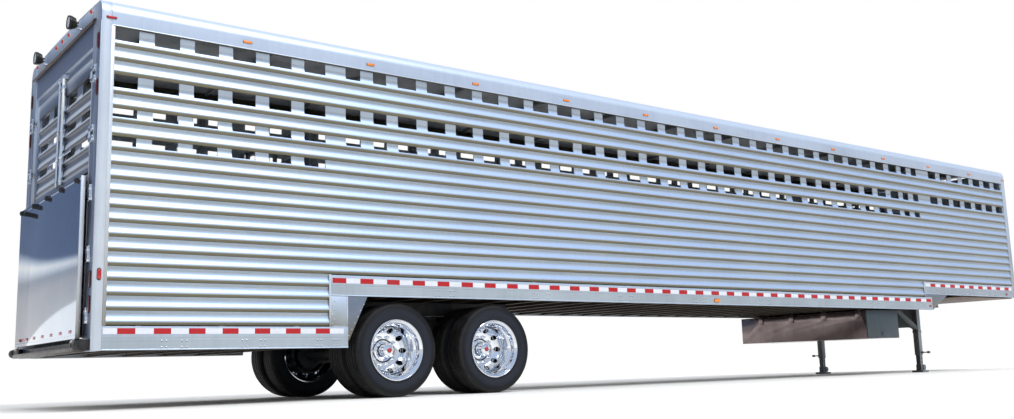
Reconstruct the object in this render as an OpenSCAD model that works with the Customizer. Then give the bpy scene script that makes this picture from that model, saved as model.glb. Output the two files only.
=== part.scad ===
// Ground-load livestock semi-trailer: a single cattle deck on three floor levels, slatted aluminium
// walls with punched air vents, a folding rear ramp, tandem dual-wheel axles and drop landing legs.
// Lengths are millimetres. Sub-parts are laid out from the rear face of the corner posts (x = 0,
// forward is +x), the centre line (y = 0, +y is the street side) and the ground (z = 0).
// Each node is then moved along x so that the frame's origin is under the middle of the trailer.

/* [Body] */
// Length from the rear posts' face to the nose wall's face
body_length = 16154; // [15800:1:16600]
// Width over the slats
body_width = 2591; // [2500:1:2600]
// Height of the roof's crown above the ground
roof_height = 3635; // [3600:1:3700]
// Height of the lower edge of the top rails
top_rail_z = 3364; // [3350:1:3400]
// Height of every bottom rail
rail_height = 206; // [180:1:220]
// Lower edge of the bottom rail at the rear pit
pit_rail_z = 502; // [490:1:510]
// Lower edge of the bottom rail along the main deck
main_rail_z = 1010; // [1005:1:1020]
// Lower edge of the bottom rail at the nose
nose_rail_z = 1265; // [1255:1:1275]
// Distance from the rear face to the riser between pit and main deck
pit_length = 2300; // [2280:1:2320]
// Distance from the rear face to the riser between main deck and nose
nose_start = 13110; // [13090:1:13130]

/* [Slats and vents] */
// Height of a common wall slat
slat_pitch = 127; // [120:1:130]
// Height of the taller slats that carry the two upper vent rows
tall_slat = 178; // [170:1:180]
// How far a slat's bead stands out from its web
bead_depth = 16; // [8:1:18]
// Length of a vent opening
vent_length = 234; // [200:1:250]
// Distance between vent openings
vent_pitch = 371.8; // [360:0.1:380]

/* [Running gear] */
// Outer diameter of a tyre
tyre_d = 952; // [930:1:954]
// Section width of a tyre
tyre_w = 268; // [250:1:276]
// Seat diameter of a wheel rim
rim_d = 571.5; // [571:0.1:572]
// Distance between the two axles
axle_spacing = 1245; // [1230:1:1260]
// Rear axle's distance from the rear face
rear_axle_x = 3003; // [2990:1:3010]
// Distance from the centre line to the dual wheels' mounting faces
wheel_face_y = 985; // [980:1:990]

/* [Coupling and landing gear] */
// Kingpin's distance from the nose face
kingpin_setback = 457; // [400:1:600]
// Height of the coupler plate's lower face
coupler_z = 1250; // [1240:1:1255]
// Landing legs' distance from the rear face
leg_x = 13315; // [13290:1:13320]
// Landing legs' distance from the centre line
leg_y = 945; // [900:1:950]

/* [Rear ramp and doors] */
// Half the width of the rear ramp
ramp_half = 1130; // [1100:1:1130]
// Height of the ramp's lower edge
ramp_z = 612; // [610:1:620]
// Length of the ramp
ramp_length = 1410; // [1380:1:1420]
// Top of the upper doors
door_top = 3130; // [3100:1:3135]

/* [Hidden] */
$fn = 48;

half_w = body_width / 2;
rear_reach = 124;                      // work lamps behind the rear face
nose_reach = 66;                       // air couplings ahead of the nose face
mid_x = (body_length + nose_reach - rear_reach) / 2;
seam = 0.6;                            // gap between neighbouring slats

post_in = 1050;                        // inner edge of the rear posts
post_x = 90;                           // depth of the rear posts
wall_in = half_w - 24;                 // inner face of the slats
web_out = half_w - bead_depth;         // outer face of a slat's web
main_rail_end = 13265;                 // front end of the main bottom rail
nose_rail_start = 13070;               // rear end of the nose bottom rail
main_rail_start = 2241;                // rear end of the main bottom rail
pit_rail_end = 2432;                   // front end of the pit bottom rail
main_slat_z = main_rail_z + rail_height + 8;
common_slats = 12;                     // common slats above the main rail
tall_low_z = main_slat_z + common_slats * slat_pitch;
tall_high_z = tall_low_z + tall_slat + 2 * slat_pitch;

pit_floor_z = 560;                     // underside of the pit floor
main_floor_z = 1118;                   // underside of the main floor
nose_floor_z = 1373;                   // underside of the nose floor
floor_t = 28;                          // thickness of the floor planks
nose_post_x = body_length - 112;       // rear face of the nose corner posts
nose_post_y = 92;                      // width of the nose corner posts

hub_z = tyre_d / 2;
front_axle_x = rear_axle_x + axle_spacing;
arm_y = 530;                           // trailing arms' distance from the centre line
arm_w = 76;
pivot_ahead = 520;                     // arm pivot ahead of its axle
pivot_z = 610;
spring_behind = 395;                   // air spring behind its axle
frame_z = 868;                         // underside of the suspension frame
frame_top = main_rail_z + 4;

hinge_x = -14;                         // upper doors' hinge line
hinge_y = 1100;
gate_hinge_x = 86;                     // lower gates' hinge line
gate_hinge_y = 1034;
hinge_pin_r = 8;
running_gap = 0.05;                    // radial clearance of a turning fit

ramp_hinge_x = -78;
ramp_hinge_z = 588;
ramp_pin_r = 10;
rod_x = 3;                             // lock rods' distance from the rear face
rod_y = 77;

module at_frame() { translate([-mid_x, 0, 0]) children(); }
module block(low, high) { translate(low) cube(high - low); }
module along_x(x0, x1) { translate([x0, 0, 0]) rotate([90, 0, 90]) linear_extrude(x1 - x0) children(); }
module along_y(y0, y1) { translate([0, y1, 0]) rotate([90, 0, 0]) linear_extrude(y1 - y0) children(); }
module both_sides() {
  children();
  mirror([0, 1, 0]) children();
}
module rod(from, axis_turn, length, r) { translate(from) rotate(axis_turn) cylinder(h = length, r = r); }
to_x = [0, 90, 0];                     // turns a cylinder from +z to +x
to_y = [-90, 0, 0];                    // turns a cylinder from +z to +y

// ---------------------------------------------------------------- floors and understructure

module deck_floors() {
  at_frame() color("dimgray") {
    block([post_x + 1, 26 - half_w, pit_floor_z], [pit_length - 8, half_w - 26, pit_floor_z + floor_t]);
    block([62, 1 - post_in, pit_floor_z], [post_x + 2, post_in - 1, pit_floor_z + floor_t]);
    block([pit_length + 8, 26 - half_w, main_floor_z], [nose_start - 8, half_w - 26, main_floor_z + floor_t]);
    block([nose_start + 8, 26 - half_w, nose_floor_z], [nose_post_x - 1, half_w - 26,
          nose_floor_z + floor_t]);
    block([nose_post_x - 2, nose_post_y - half_w + 1, nose_floor_z],
          [body_length - 34, half_w - nose_post_y - 1, nose_floor_z + floor_t]);
  }
}

// I-section lying along y: web and two flanges
module i_beam(x, z, height, flange) {
  along_y(28 - half_w, half_w - 28)
    translate([x, z]) {
      translate([-flange / 2, 0]) square([flange, 6]);
      translate([-3, 5]) square([6, height - 10]);
      translate([-flange / 2, height - 6]) square([flange, 6]);
    }
}

beam_pitch = 406.4;
beam_height = 100;
module cross_members() {
  at_frame() color("dimgray") {
    for (i = [0 : 25]) i_beam(2560 + i * beam_pitch, main_floor_z - beam_height - 1, beam_height, 60);
    for (i = [0 : 4]) i_beam(260 + i * beam_pitch, pit_floor_z - 54, 53, 60);
    for (i = [0 : 5]) i_beam(13560 + i * beam_pitch, nose_floor_z - 80, 79, 60);
  }
}

// ---------------------------------------------------------------- lower side rails and steps

// Hollow lower rail section on the curb side: face, lower lip and inner shelf
module rail_section(z) {
  difference() {
    translate([-half_w, z]) square([24, rail_height]);
    translate([-half_w + 5, z + 6]) square([14, rail_height - 12]);
  }
  translate([-half_w, z]) square([26, 6]);
}

module bottom_rails() {
  at_frame() color("lightslategray") both_sides() {
    along_x(post_x + 1, pit_rail_end) rail_section(pit_rail_z);
    along_x(main_rail_start, main_rail_end) rail_section(main_rail_z);
    along_x(nose_rail_start, body_length - 115) rail_section(nose_rail_z);
  }
}

module step_plates() {
  at_frame() color("lightslategray") {
    // outer panels that close each side between the rails
    both_sides() along_y(-half_w + 1, -half_w + 5) {
      polygon([[main_rail_start, pit_rail_z + rail_height + 1], [pit_rail_end, pit_rail_z + rail_height + 1],
               [pit_rail_end + 1, pit_rail_z + 76], [pit_rail_end + 14, pit_rail_z + 76],
               [2653, main_rail_z - 1], [main_rail_start, main_rail_z - 1]]);
      polygon([[nose_rail_start, main_rail_z + rail_height + 1], [nose_rail_start, nose_rail_z - 1],
               [13765, nose_rail_z - 1], [main_rail_end + 14, main_rail_z + 3], [main_rail_end + 1,
                     main_rail_z + 3],
               [main_rail_end + 1, main_rail_z + rail_height + 1]]);
    }
    // risers across the body at both floor steps
    block([pit_length - 6, 28 - half_w, pit_floor_z + 1], [pit_length + 6, half_w - 28,
          main_floor_z + floor_t]);
    block([nose_start - 6, 28 - half_w, main_floor_z + 1], [nose_start + 6, half_w - 28,
          nose_floor_z + floor_t]);
  }
}

// ---------------------------------------------------------------- slatted walls

// One slat on the curb side: flat web with a bead along its lower edge
module slat_section(z, height) {
  polygon([[-wall_in, z + seam], [-web_out + 1, z + seam], [-half_w, z + seam + 3], [-half_w, z + 22],
           [-half_w + 5, z + 34], [-web_out - 1, z + 52], [-web_out, z + 60], [-web_out, z + height],
           [-wall_in, z + height]]);
}

module slat(x0, x1, z, height) { along_x(x0, x1) slat_section(z, height); }

module vent_cut(x, length, z0, z1) {
  block([x, -half_w - 1, z0], [x + length, -wall_in + 1, z1]);
}

rear_vent_x = 101;
main_vent_x = 3044;
nose_vent_x = 13539;
rear_vents = 6;
main_vents = 26;
nose_vents = 7;
narrow_vents = [[2423, 172], [2746, 160], [12700, 160], [13007, 156]];

// One row of vents: the rear six, then the main deck's, then the nose's
module vent_row(z0, z1, with_main, with_nose) {
  for (i = [0 : rear_vents - 1]) vent_cut(rear_vent_x + i * vent_pitch, vent_length, z0, z1);
  if (with_main) {
    for (i = [0 : main_vents - 1]) vent_cut(main_vent_x + i * vent_pitch, vent_length, z0, z1);
    for (v = narrow_vents) vent_cut(v[0], v[1], z0, z1);
  }
  if (with_nose)
    for (i = [0 : nose_vents - 1]) vent_cut(nose_vent_x + i * vent_pitch, vent_length, z0, z1);
}

slat_x0 = post_x + 4;
slat_x1 = body_length - 116;

module slats_pit() {
  at_frame() color("lightsteelblue") both_sides()
    for (k = [1 : 4]) slat(slat_x0, main_rail_start - 2, main_slat_z - k * slat_pitch, slat_pitch);
}

module slats_low() {
  at_frame() color("lightsteelblue") both_sides()
    for (k = [0 : 7])
      slat(slat_x0, k < 2 ? nose_rail_start - 2 : slat_x1, main_slat_z + k * slat_pitch, slat_pitch);
}

short_vent = 45;                       // vent's height above a common slat's lower edge
tall_vent = 60;                        // the same on a tall slat
module slats_vented() {
  row4_z = main_slat_z + 8 * slat_pitch;
  row3_z = main_slat_z + 10 * slat_pitch;
  at_frame() color("lightsteelblue") both_sides() {
    difference() {
      slat(slat_x0, slat_x1, row4_z, slat_pitch);
      vent_row(row4_z + short_vent, row4_z + slat_pitch + 1, false, false);
    }
    slat(slat_x0, slat_x1, row4_z + slat_pitch, slat_pitch);
    difference() {
      slat(slat_x0, slat_x1, row3_z, slat_pitch);
      vent_row(row3_z + short_vent, row3_z + slat_pitch + 1, true, false);
    }
    slat(slat_x0, slat_x1, row3_z + slat_pitch, slat_pitch);
    difference() {
      slat(slat_x0, slat_x1, tall_low_z, tall_slat);
      vent_row(tall_low_z + tall_vent, tall_low_z + tall_slat + 1, true, true);
    }
    for (k = [0, 1]) slat(slat_x0, slat_x1, tall_low_z + tall_slat + k * slat_pitch, slat_pitch);
    difference() {
      slat(slat_x0, slat_x1, tall_high_z, tall_slat);
      vent_row(tall_high_z + tall_vent, tall_high_z + tall_slat + 1, true, true);
    }
  }
}

// Upright stakes inside the wall, behind the bars between vents
stake_w = 50;
module stake(x, z) { block([x - stake_w / 2, -wall_in + 0.6, z], [x + stake_w / 2, -wall_in + 26,
      top_rail_z - 2]); }
module wall_stakes() {
  bar = vent_pitch - vent_length;
  at_frame() color("silver") both_sides() {
    for (i = [1 : 2 : 5]) stake(rear_vent_x - bar / 2 + i * vent_pitch, pit_floor_z + floor_t + 1);
    for (i = [1 : 4 : 25]) stake(main_vent_x - bar / 2 + i * vent_pitch, main_floor_z + floor_t + 1);
    for (i = [2 : 3 : 5]) stake(nose_vent_x - bar / 2 + i * vent_pitch, nose_floor_z + floor_t + 1);
  }
}

// ---------------------------------------------------------------- roof

roof_edge_y = 1202;                    // where the curved top rail meets the roof sheet
roof_edge_z = roof_height - 32;
crown = 28;
rail_top_curve = [for (a = [0 : 15 : 90]) [-half_w + 92 * (1 - cos(a)), top_rail_z + 120 + 122 * sin(a)]];
rail_inner_curve = [for (a = [90 : -15 : 0]) [-half_w + 5 + 86 * (1 - cos(a)),
      top_rail_z + 120 + 116 * sin(a)]];

module top_rail_section() {
  polygon(concat([[-half_w, top_rail_z]], rail_top_curve, rail_inner_curve,
                 [[-half_w + 5, top_rail_z + 6], [-half_w + 24, top_rail_z + 6], [-half_w + 24,
                       top_rail_z]]));
}

module top_rails() {
  at_frame() color("lightsteelblue") both_sides() along_x(post_x + 1, body_length - 115) top_rail_section();
}

function crown_z(y) = crown * (1 - pow(y / roof_edge_y, 2));

module roof_sheet() {
  ys = [for (i = [0 : 12]) -roof_edge_y + i * roof_edge_y / 6];
  outer = [for (y = ys) [y, roof_edge_z + 4 + crown_z(y)]];
  inner = [for (i = [12 : -1 : 0]) [ys[i], roof_edge_z + 1 + crown_z(ys[i])]];
  at_frame() color("gainsboro") along_x(4, body_length - 4) polygon(concat(outer, inner));
}

module roof_bows() {
  span = roof_edge_y - 14;
  ys = [for (i = [0 : 8]) -span + i * span / 4];
  outer = [for (y = ys) [y, roof_edge_z - 1 + crown_z(y)]];
  inner = [for (i = [8 : -1 : 0]) [ys[i], roof_edge_z - 36 + crown_z(ys[i])]];
  at_frame() color("silver")
    for (i = [0 : 12]) along_x(640 + i * 1240, 680 + i * 1240) polygon(concat(outer, inner));
}

// ---------------------------------------------------------------- rear frame and nose

hinge_levels = [805, 1331, 1866, 2399, 2944];
knuckle = 46;                          // height of one hinge knuckle
upper_hinges = [hinge_levels[3], hinge_levels[4]];
gate_hinges = [hinge_levels[0] + 20, hinge_levels[1], hinge_levels[2]];

// Pair of ears and a pin for a door hinge on the curb post
module door_butt(z) {
  for (s = [-1, 1]) {
    block([hinge_x - 8, -hinge_y - 60, z + s * (knuckle + 1) - knuckle / 2],
          [0.5, -hinge_y - 10, z + s * (knuckle + 1) + knuckle / 2]);
    rod([hinge_x, -hinge_y, z + s * (knuckle + 1) - knuckle / 2], [0, 0, 0], knuckle, 14);
  }
  rod([hinge_x, -hinge_y, z - 1.4 * knuckle], [0, 0, 0], 2.8 * knuckle, hinge_pin_r);
}

module gate_butt(z) {
  for (s = [-1, 1]) {
    block([post_x - 1, -post_in - 12, z + s * (knuckle + 1) - knuckle / 2],
          [gate_hinge_x + 12, -gate_hinge_y - 6, z + s * (knuckle + 1) + knuckle / 2]);
    rod([gate_hinge_x, -gate_hinge_y, z + s * (knuckle + 1) - knuckle / 2], [0, 0, 0], knuckle, 12);
  }
  rod([gate_hinge_x, -gate_hinge_y, z - 1.4 * knuckle], [0, 0, 0], 2.8 * knuckle, hinge_pin_r);
}

module post_cap() {
  along_x(0, post_x)
    polygon(concat([[-half_w, top_rail_z - 1]], rail_top_curve,
                   [[-roof_edge_y - 1, roof_edge_z - 1], [-post_in, roof_edge_z - 1], [-post_in,
                         top_rail_z - 1]]));
}

module rear_posts() {
  at_frame() color("slategray") both_sides() {
    block([0, -half_w, pit_rail_z], [post_x, -post_in, top_rail_z]);
    post_cap();
    for (z = upper_hinges) door_butt(z);
    for (z = gate_hinges) gate_butt(z);
    // plain butts beside the ramp
    for (k = [0 : 2]) block([-24, -1195, hinge_levels[k] - 45], [0.5, -1140, hinge_levels[k] + 45]);
  }
}

header_x = 30;
module rear_header() {
  at_frame() color("slategray") {
    along_x(header_x, header_x + 50)
      polygon([[-post_in + 1, door_top + 22], [post_in - 1, door_top + 22], [post_in - 1, roof_edge_z - 2],
               [0, roof_edge_z + crown - 2], [-post_in + 1, roof_edge_z - 2]]);
    along_x(1, header_x + 1)
      polygon([[-post_in + 1, 3215], [post_in - 1, 3215], [post_in - 1, roof_edge_z - 2],
               [0, roof_edge_z + crown - 2], [-post_in + 1, roof_edge_z - 2]]);
    // keepers that trap the lock rods' cams, open to the rear
    for (y = [-rod_y, rod_y], s = [-1, 1])
      block([rod_x - 22, y + s * 33 - 5, door_top + 30], [header_x + 1, y + s * 33 + 5, door_top + 66]);
  }
}

module drip_gutter() {
  at_frame() color("rosybrown") along_y(-1130, 1130)
    polygon([[-0.5, 3462], [-30, 3446], [-34, 3416], [-29, 3416], [-25, 3441], [-0.5, 3455]]);
}

sill_top = 540;
module rear_sill() {
  at_frame() color("darkgray") {
    difference() {
      union() {
        block([-98, -ramp_half + 2, pit_rail_z], [-1, ramp_half - 2, sill_top]);
        block([-2, -post_in + 1, pit_rail_z], [60, post_in - 1, pit_floor_z + floor_t]);
      }
      // open grip slots through the tread
      for (i = [0 : 6], j = [0, 1])
        block([-58 + j * 30, -950 + i * 290, pit_rail_z - 1], [-38 + j * 30, -790 + i * 290, sill_top + 1]);
    }
    // ears and pins that carry the ramp
    both_sides() {
      for (y = [22, 102]) {
        block([ramp_hinge_x - 16, -ramp_half + y, sill_top - 1], [ramp_hinge_x + 16,
              -ramp_half + y + 16, ramp_hinge_z]);
        rod([ramp_hinge_x, -ramp_half + y, ramp_hinge_z], to_y, 16, 16);
      }
      rod([ramp_hinge_x, -ramp_half + 23, ramp_hinge_z], to_y, 94, ramp_pin_r);
    }
  }
}

module dock_bumpers() {
  at_frame() color("black") both_sides() intersection() {
    rod([-30, -half_w + 1, 552], to_y, 152, 74);
    block([-106, -half_w, 506], [-0.4, -half_w + 160, 598]);
  }
}

module nose_corners() {
  at_frame() color("lightslategray") both_sides() {
    block([nose_post_x, -half_w, nose_rail_z], [body_length, -half_w + nose_post_y, top_rail_z]);
    along_x(nose_post_x, body_length)
      polygon(concat([[-half_w, top_rail_z - 1]], rail_top_curve, [[-half_w + nose_post_y, top_rail_z - 1]]));
  }
}

module nose_wall() {
  at_frame() color("lightsteelblue") {
    block([body_length - 30, nose_post_y + 1 - half_w, nose_rail_z],
          [body_length - 2, half_w - nose_post_y - 1, roof_edge_z - 2]);
    for (i = [-3 : 3]) block([body_length - 31, i * 330 - 20, nose_rail_z + 20], [body_length,
          i * 330 + 20, 3560]);
  }
}

// ---------------------------------------------------------------- lamps and tape

marker_x = [for (i = [1 : 11]) 1.2 + i * 1353.8];
marker_z = 3436;
module marker_lamp(x, z, length, height) {
  block([x - length / 2, -half_w - 11, z - height / 2], [x + length / 2, -half_w - 0.3, z + height / 2]);
}

module amber_lamps() {
  at_frame() color("orange") both_sides() {
    for (x = concat(marker_x, [body_length - 56])) marker_lamp(x, marker_z, 100, 22);
    marker_lamp(7931, main_rail_z + 56, 120, 44);
  }
}

oval_z = [3230, 2803, 1109, 897];
id_lamp_y = [-1000, -235, 0, 235, 1000];
module red_lamps() {
  at_frame() color("crimson") {
    both_sides() {
      marker_lamp(85, marker_z, 96, 22);
      marker_lamp(52, 1149, 40, 100);
      marker_lamp(13197, main_rail_z + 61, 60, 26);
      marker_lamp(15797, nose_rail_z + 53, 60, 26);
      for (z = oval_z) {
        rod([-14, -1228, z - 50], to_x, 13.6, 26);
        rod([-14, -1228, z + 50], to_x, 13.6, 26);
        block([-14, -1254, z - 50], [-0.4, -1202, z + 50]);
      }
    }
    for (y = id_lamp_y) {
      rod([-8, y, 3560], to_x, 8.4, 24);
      rod([-26, y, 3560], to_x, 19, 20);
    }
  }
}

tape_h = 50;
module tape_run(x0, x1, z) { block([x0, -half_w - 0.8, z], [x1, -half_w - 0.2, z + tape_h]); }
module reflective_tape() {
  at_frame() color("white") both_sides() {
    tape_run(180, main_rail_start - 60, pit_rail_z + 140);
    tape_run(main_rail_start + 40, main_rail_end - 20, main_rail_z + 128);
    tape_run(nose_rail_start + 30, body_length - 160, nose_rail_z + 126);
  }
}

lamp_y = 640;
lamp_z = 3548;
lamp_r = 66;
lamp_back = -52;                       // forward end of each work lamp's body
lamp_pin_x = lamp_back + 10;
lamp_pin_z = lamp_z - 20;
module lamp_stems() {
  at_frame() color("silver") both_sides() {
    rod([lamp_pin_x, -lamp_y, lamp_z - 50], to_x, 0.6 - lamp_pin_x, 7);
    rod([lamp_pin_x, -lamp_y, lamp_z - 57], [0, 0, 0], 38, 8);
    rod([lamp_pin_x, -lamp_y - 36, lamp_pin_z], to_y, 72, 5);
    rod([-7, -lamp_y, lamp_z - 50], to_x, 7.6, 18);
  }
}

module work_lamp(y) {
  at_frame() color("black") difference() {
    union() {
      rod([-rear_reach, y, lamp_z], to_x, rear_reach + lamp_back, lamp_r);
      for (s = [-1, 1])
        block([lamp_back - 2, y + s * 28 - 7, lamp_z - 34], [lamp_pin_x + 8, y + s * 28 + 7, lamp_z + 10]);
    }
    rod([lamp_pin_x, y - 60, lamp_pin_z], to_y, 120, 5 + running_gap);
    rod([-rear_reach - 1, y, lamp_z], to_x, 7, lamp_r - 7);
  }
}
module work_lamp_curb() { work_lamp(-lamp_y); }
module work_lamp_street() { work_lamp(lamp_y); }

// ---------------------------------------------------------------- suspension and axles

module bogie_frame() {
  x0 = rear_axle_x - 620;
  x1 = front_axle_x + 700;
  at_frame() color("darkslategray") {
    both_sides() difference() {
      union() {
        block([x0, -arm_y - 46, frame_z], [x1, -arm_y + 46, frame_top]);
        for (x = [rear_axle_x + pivot_ahead, front_axle_x + pivot_ahead], s = [-1, 1])
          along_y(-arm_y + s * 45 - 4, -arm_y + s * 45 + 4)
            polygon([[x - 120, frame_z + 1], [x + 120, frame_z + 1], [x + 60, pivot_z - 60], [x - 60,
                  pivot_z - 60]]);
      }
      for (x = [rear_axle_x + pivot_ahead, front_axle_x + pivot_ahead])
        rod([x, -arm_y - 80, pivot_z], to_y, 160, 14);
    }
    for (x = [x0 + 40, rear_axle_x + 620, x1 - 100])
      block([x, -arm_y + 45, frame_z + 20], [x + 60, arm_y - 45, frame_top - 8]);
  }
}

spindle_end = wheel_face_y + 128;
module axle_beam(x) {
  rod([x, -640, hub_z], to_y, 1280, 63.5);
  both_sides() {
    rod([x, -spindle_end, hub_z], to_y, spindle_end - 600, 45);
    rod([x, -690, hub_z], to_y, 20, 150);
    // seat blocks under the trailing arms
    block([x - 62, -arm_y - 34, hub_z + 30], [x + 62, -arm_y + 34, pivot_z - 70]);
  }
}
module axle_beams() {
  at_frame() color("dimgray") for (x = [rear_axle_x, front_axle_x]) axle_beam(x);
}

module trailing_arm(x) {
  difference() {
    union() {
      along_y(-arm_y - arm_w / 2, -arm_y + arm_w / 2)
        polygon([[x + pivot_ahead, pivot_z - 42], [x + pivot_ahead, pivot_z + 42], [x + 90, pivot_z + 44],
                 [x - 90, pivot_z + 30], [x - 240, pivot_z - 16], [x - spring_behind - 60, pivot_z - 16],
                 [x - spring_behind - 60, pivot_z - 56], [x - 90, pivot_z - 69], [x + 90, pivot_z - 69]]);
      rod([x + pivot_ahead, -arm_y - arm_w / 2, pivot_z], to_y, arm_w, 42);
      block([x - spring_behind - 90, -arm_y - 90, pivot_z - 17], [x - spring_behind + 90, -arm_y + 90,
            pivot_z - 5]);
    }
    rod([x + pivot_ahead, -arm_y - 60, pivot_z], to_y, 120, 14);
  }
  rod([x + pivot_ahead, -arm_y - 62, pivot_z], to_y, 124, 13.9);
}
module trailing_arms() {
  at_frame() color("darkslategray") both_sides() for (x = [rear_axle_x, front_axle_x]) trailing_arm(x);
}

module air_springs() {
  z0 = pivot_z - 4;
  bellows = [[0, 0], [80, 0], [104, 26], [122, 70], [126, 130], [118, 176], [104, frame_z - z0 - 26],
             [104, frame_z - z0 - 1], [0, frame_z - z0 - 1]];
  at_frame() color("black") both_sides() for (x = [rear_axle_x, front_axle_x])
    translate([x - spring_behind, -arm_y, z0]) rotate_extrude() polygon(bellows);
}

module shock_absorbers() {
  lean = 24;
  at_frame() color("darkslategray") both_sides() for (x = [rear_axle_x, front_axle_x])
    translate([x + 90, -arm_y + 92, hub_z + 60]) rotate([0, lean, 0]) {
      cylinder(h = 190, r = 34);
      translate([0, 0, 189]) cylinder(h = 170, r = 27);
      rotate([90, 0, 0]) translate([0, 0, -20]) cylinder(h = 66, r = 22);
    }
}

module brake_chambers() {
  at_frame() color("dimgray") both_sides() for (x = [rear_axle_x, front_axle_x]) {
    rod([x + 75, -300, hub_z + 14], to_x, 62, 82);
    rod([x + 136, -300, hub_z + 14], to_x, 96, 76);
    rod([x + 105, -660, hub_z - 78], to_y, 380, 19);
    block([x + 90, -308, hub_z - 84], [x + 120, -292, hub_z + 20]);
  }
}

tank_x = 4660;
module air_tank() {
  at_frame() color("darkslategray") {
    rod([tank_x, -400, 872], to_y, 800, 116);
    both_sides() along_y(-320, -280) difference() {
      union() { translate([tank_x, 872]) circle(r = 122); translate([tank_x - 60, 900]) square([120, 116]); }
      translate([tank_x, 872]) circle(r = 116.6);
    }
  }
}

// ---------------------------------------------------------------- wheels

// Wheel parts are turned about z with +z pointing away from the trailer, zero at the mounting face
module at_wheel(x, side) {
  at_frame() translate([x, side * wheel_face_y, hub_z]) rotate([side * -90, 0, 0]) children();
}

rim_offset = 165;                      // from the mounting face to the middle of each rim
rim_half = 125;                        // half the rim's overall width
rim_r = rim_d / 2;
disc_bore = 110.5;                     // wheel's centre hole
stud_circle = 142.9;
stud_r = 11;
disc_t = 11.5;                         // from the mounting face to each disc's origin

// Disc wheel with its mounting face at zero and its barrel reaching outwards
module disc_wheel() {
  outer_lip = rim_offset + rim_half;
  inner_lip = rim_offset - rim_half;
  difference() {
    rotate_extrude() polygon([
      [disc_bore, 1], [170, 1], [206, 22], [244, 60], [250, 96], [250, 190], [268, 214], [276, 232],
            [278, 272],
      [296, outer_lip - 8], [300, outer_lip], [311, outer_lip], [311, outer_lip - 10], [rim_r,
            outer_lip - 20],
      [rim_r - 4, 238], [262, 196], [262, 92], [rim_r - 4, inner_lip + 22], [rim_r, inner_lip + 18],
      [311, inner_lip + 10], [311, inner_lip], [296, inner_lip], [266, inner_lip + 6], [258, inner_lip + 12],
      [212, 12], [176, -11], [disc_bore, -11]]);
    for (a = [0 : 36 : 324]) rotate([0, 0, a]) {
      translate([214, 0, -20]) cylinder(h = 110, r = 28);
      translate([stud_circle, 0, -20]) cylinder(h = 30, r = stud_r + 2);
    }
  }
}

module hub_and_drum() {
  rotate_extrude() polygon([
    [45 + running_gap, -118], [84, -118], [84, -50], [140, -50], [140, -180], [196, -184], [196, -300],
    [208, -300], [208, -50], [170, -14.2], [disc_bore - 0.5, -14.2], [disc_bore - 0.5, 12], [86, 20],
          [78, 60],
    [72, 132], [66, 150], [0, 150], [0, 136], [45 + running_gap, 136]]);
  for (a = [0 : 36 : 324]) rotate([0, 0, a]) translate([stud_circle, 0, 0]) {
    translate([0, 0, -20]) cylinder(h = 76, r = stud_r);
    translate([0, 0, 12.8]) cylinder(h = 24, r = 19);
  }
}

// Hub with its studs, and the two disc wheels back to back on it
module wheel_set(x, side) {
  at_wheel(x, side) color("silver") {
    translate([0, 0, disc_t]) disc_wheel();
    translate([0, 0, -disc_t - 1]) mirror([0, 0, 1]) disc_wheel();
    hub_and_drum();
  }
}

module tyre_ring(middle) {
  half = tyre_w / 2;
  r = tyre_d / 2;
  translate([0, 0, middle]) rotate_extrude() polygon([
    [rim_r + 0.4, -102], [rim_r + 0.4, -80], [rim_r + 40, -96], [rim_r + 96, -half + 16], [r - 40,
          -half + 26],
    [r - 24, -half + 50], [r - 22, 0], [r - 24, half - 50], [r - 40, half - 26], [rim_r + 96, half - 16],
    [rim_r + 40, 96], [rim_r + 0.4, 80], [rim_r + 0.4, 102], [rim_r + 30, 116], [rim_r + 80, half - 2],
    [rim_r + 110, half], [r - 46, half - 6], [r - 16, half - 22], [r - 3, half - 38], [r, half - 60],
    [r, -half + 60], [r - 3, -half + 38], [r - 16, -half + 22], [r - 46, -half + 6], [rim_r + 110, -half],
    [rim_r + 80, -half + 2], [rim_r + 30, -116]]);
}
module tyre_pair(x, side) {
  at_wheel(x, side) color("black") {
    tyre_ring(rim_offset + disc_t);
    tyre_ring(-rim_offset - disc_t - 1);
  }
}

module tyres_rear_curb() { tyre_pair(rear_axle_x, -1); }
module tyres_rear_street() { tyre_pair(rear_axle_x, 1); }
module tyres_front_curb() { tyre_pair(front_axle_x, -1); }
module tyres_front_street() { tyre_pair(front_axle_x, 1); }
module wheels_rear_curb() { wheel_set(rear_axle_x, -1); }
module wheels_rear_street() { wheel_set(rear_axle_x, 1); }
module wheels_front_curb() { wheel_set(front_axle_x, -1); }
module wheels_front_street() { wheel_set(front_axle_x, 1); }

// ---------------------------------------------------------------- coupling at the nose

kingpin_x = body_length - kingpin_setback;
kingpin_r = 25.4;
module coupler_plate() {
  at_frame() color("saddlebrown") difference() {
    union() {
      block([14300, -1240, coupler_z], [body_length - 60, 1240, coupler_z + 10]);
      for (y = [-1100, -540, -200, 200, 540, 1100])
        block([14300, y - 6, coupler_z + 9], [body_length - 60, y + 6, 1292]);
    }
    rod([kingpin_x, 0, coupler_z - 1], [0, 0, 0], 12, 45);
  }
}

module kingpin() {
  at_frame() color("gray") translate([kingpin_x, 0, coupler_z]) {
    translate([0, 0, -84]) cylinder(h = 14, r = 35.7);
    translate([0, 0, -71]) cylinder(h = 40, r = kingpin_r);
    translate([0, 0, -32]) cylinder(h = 32, r = 36.5);
    translate([0, 0, -1]) cylinder(h = 24, r = 44.5);
    translate([0, 0, 10.6]) cylinder(h = 14, r = 90);
  }
}

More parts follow.
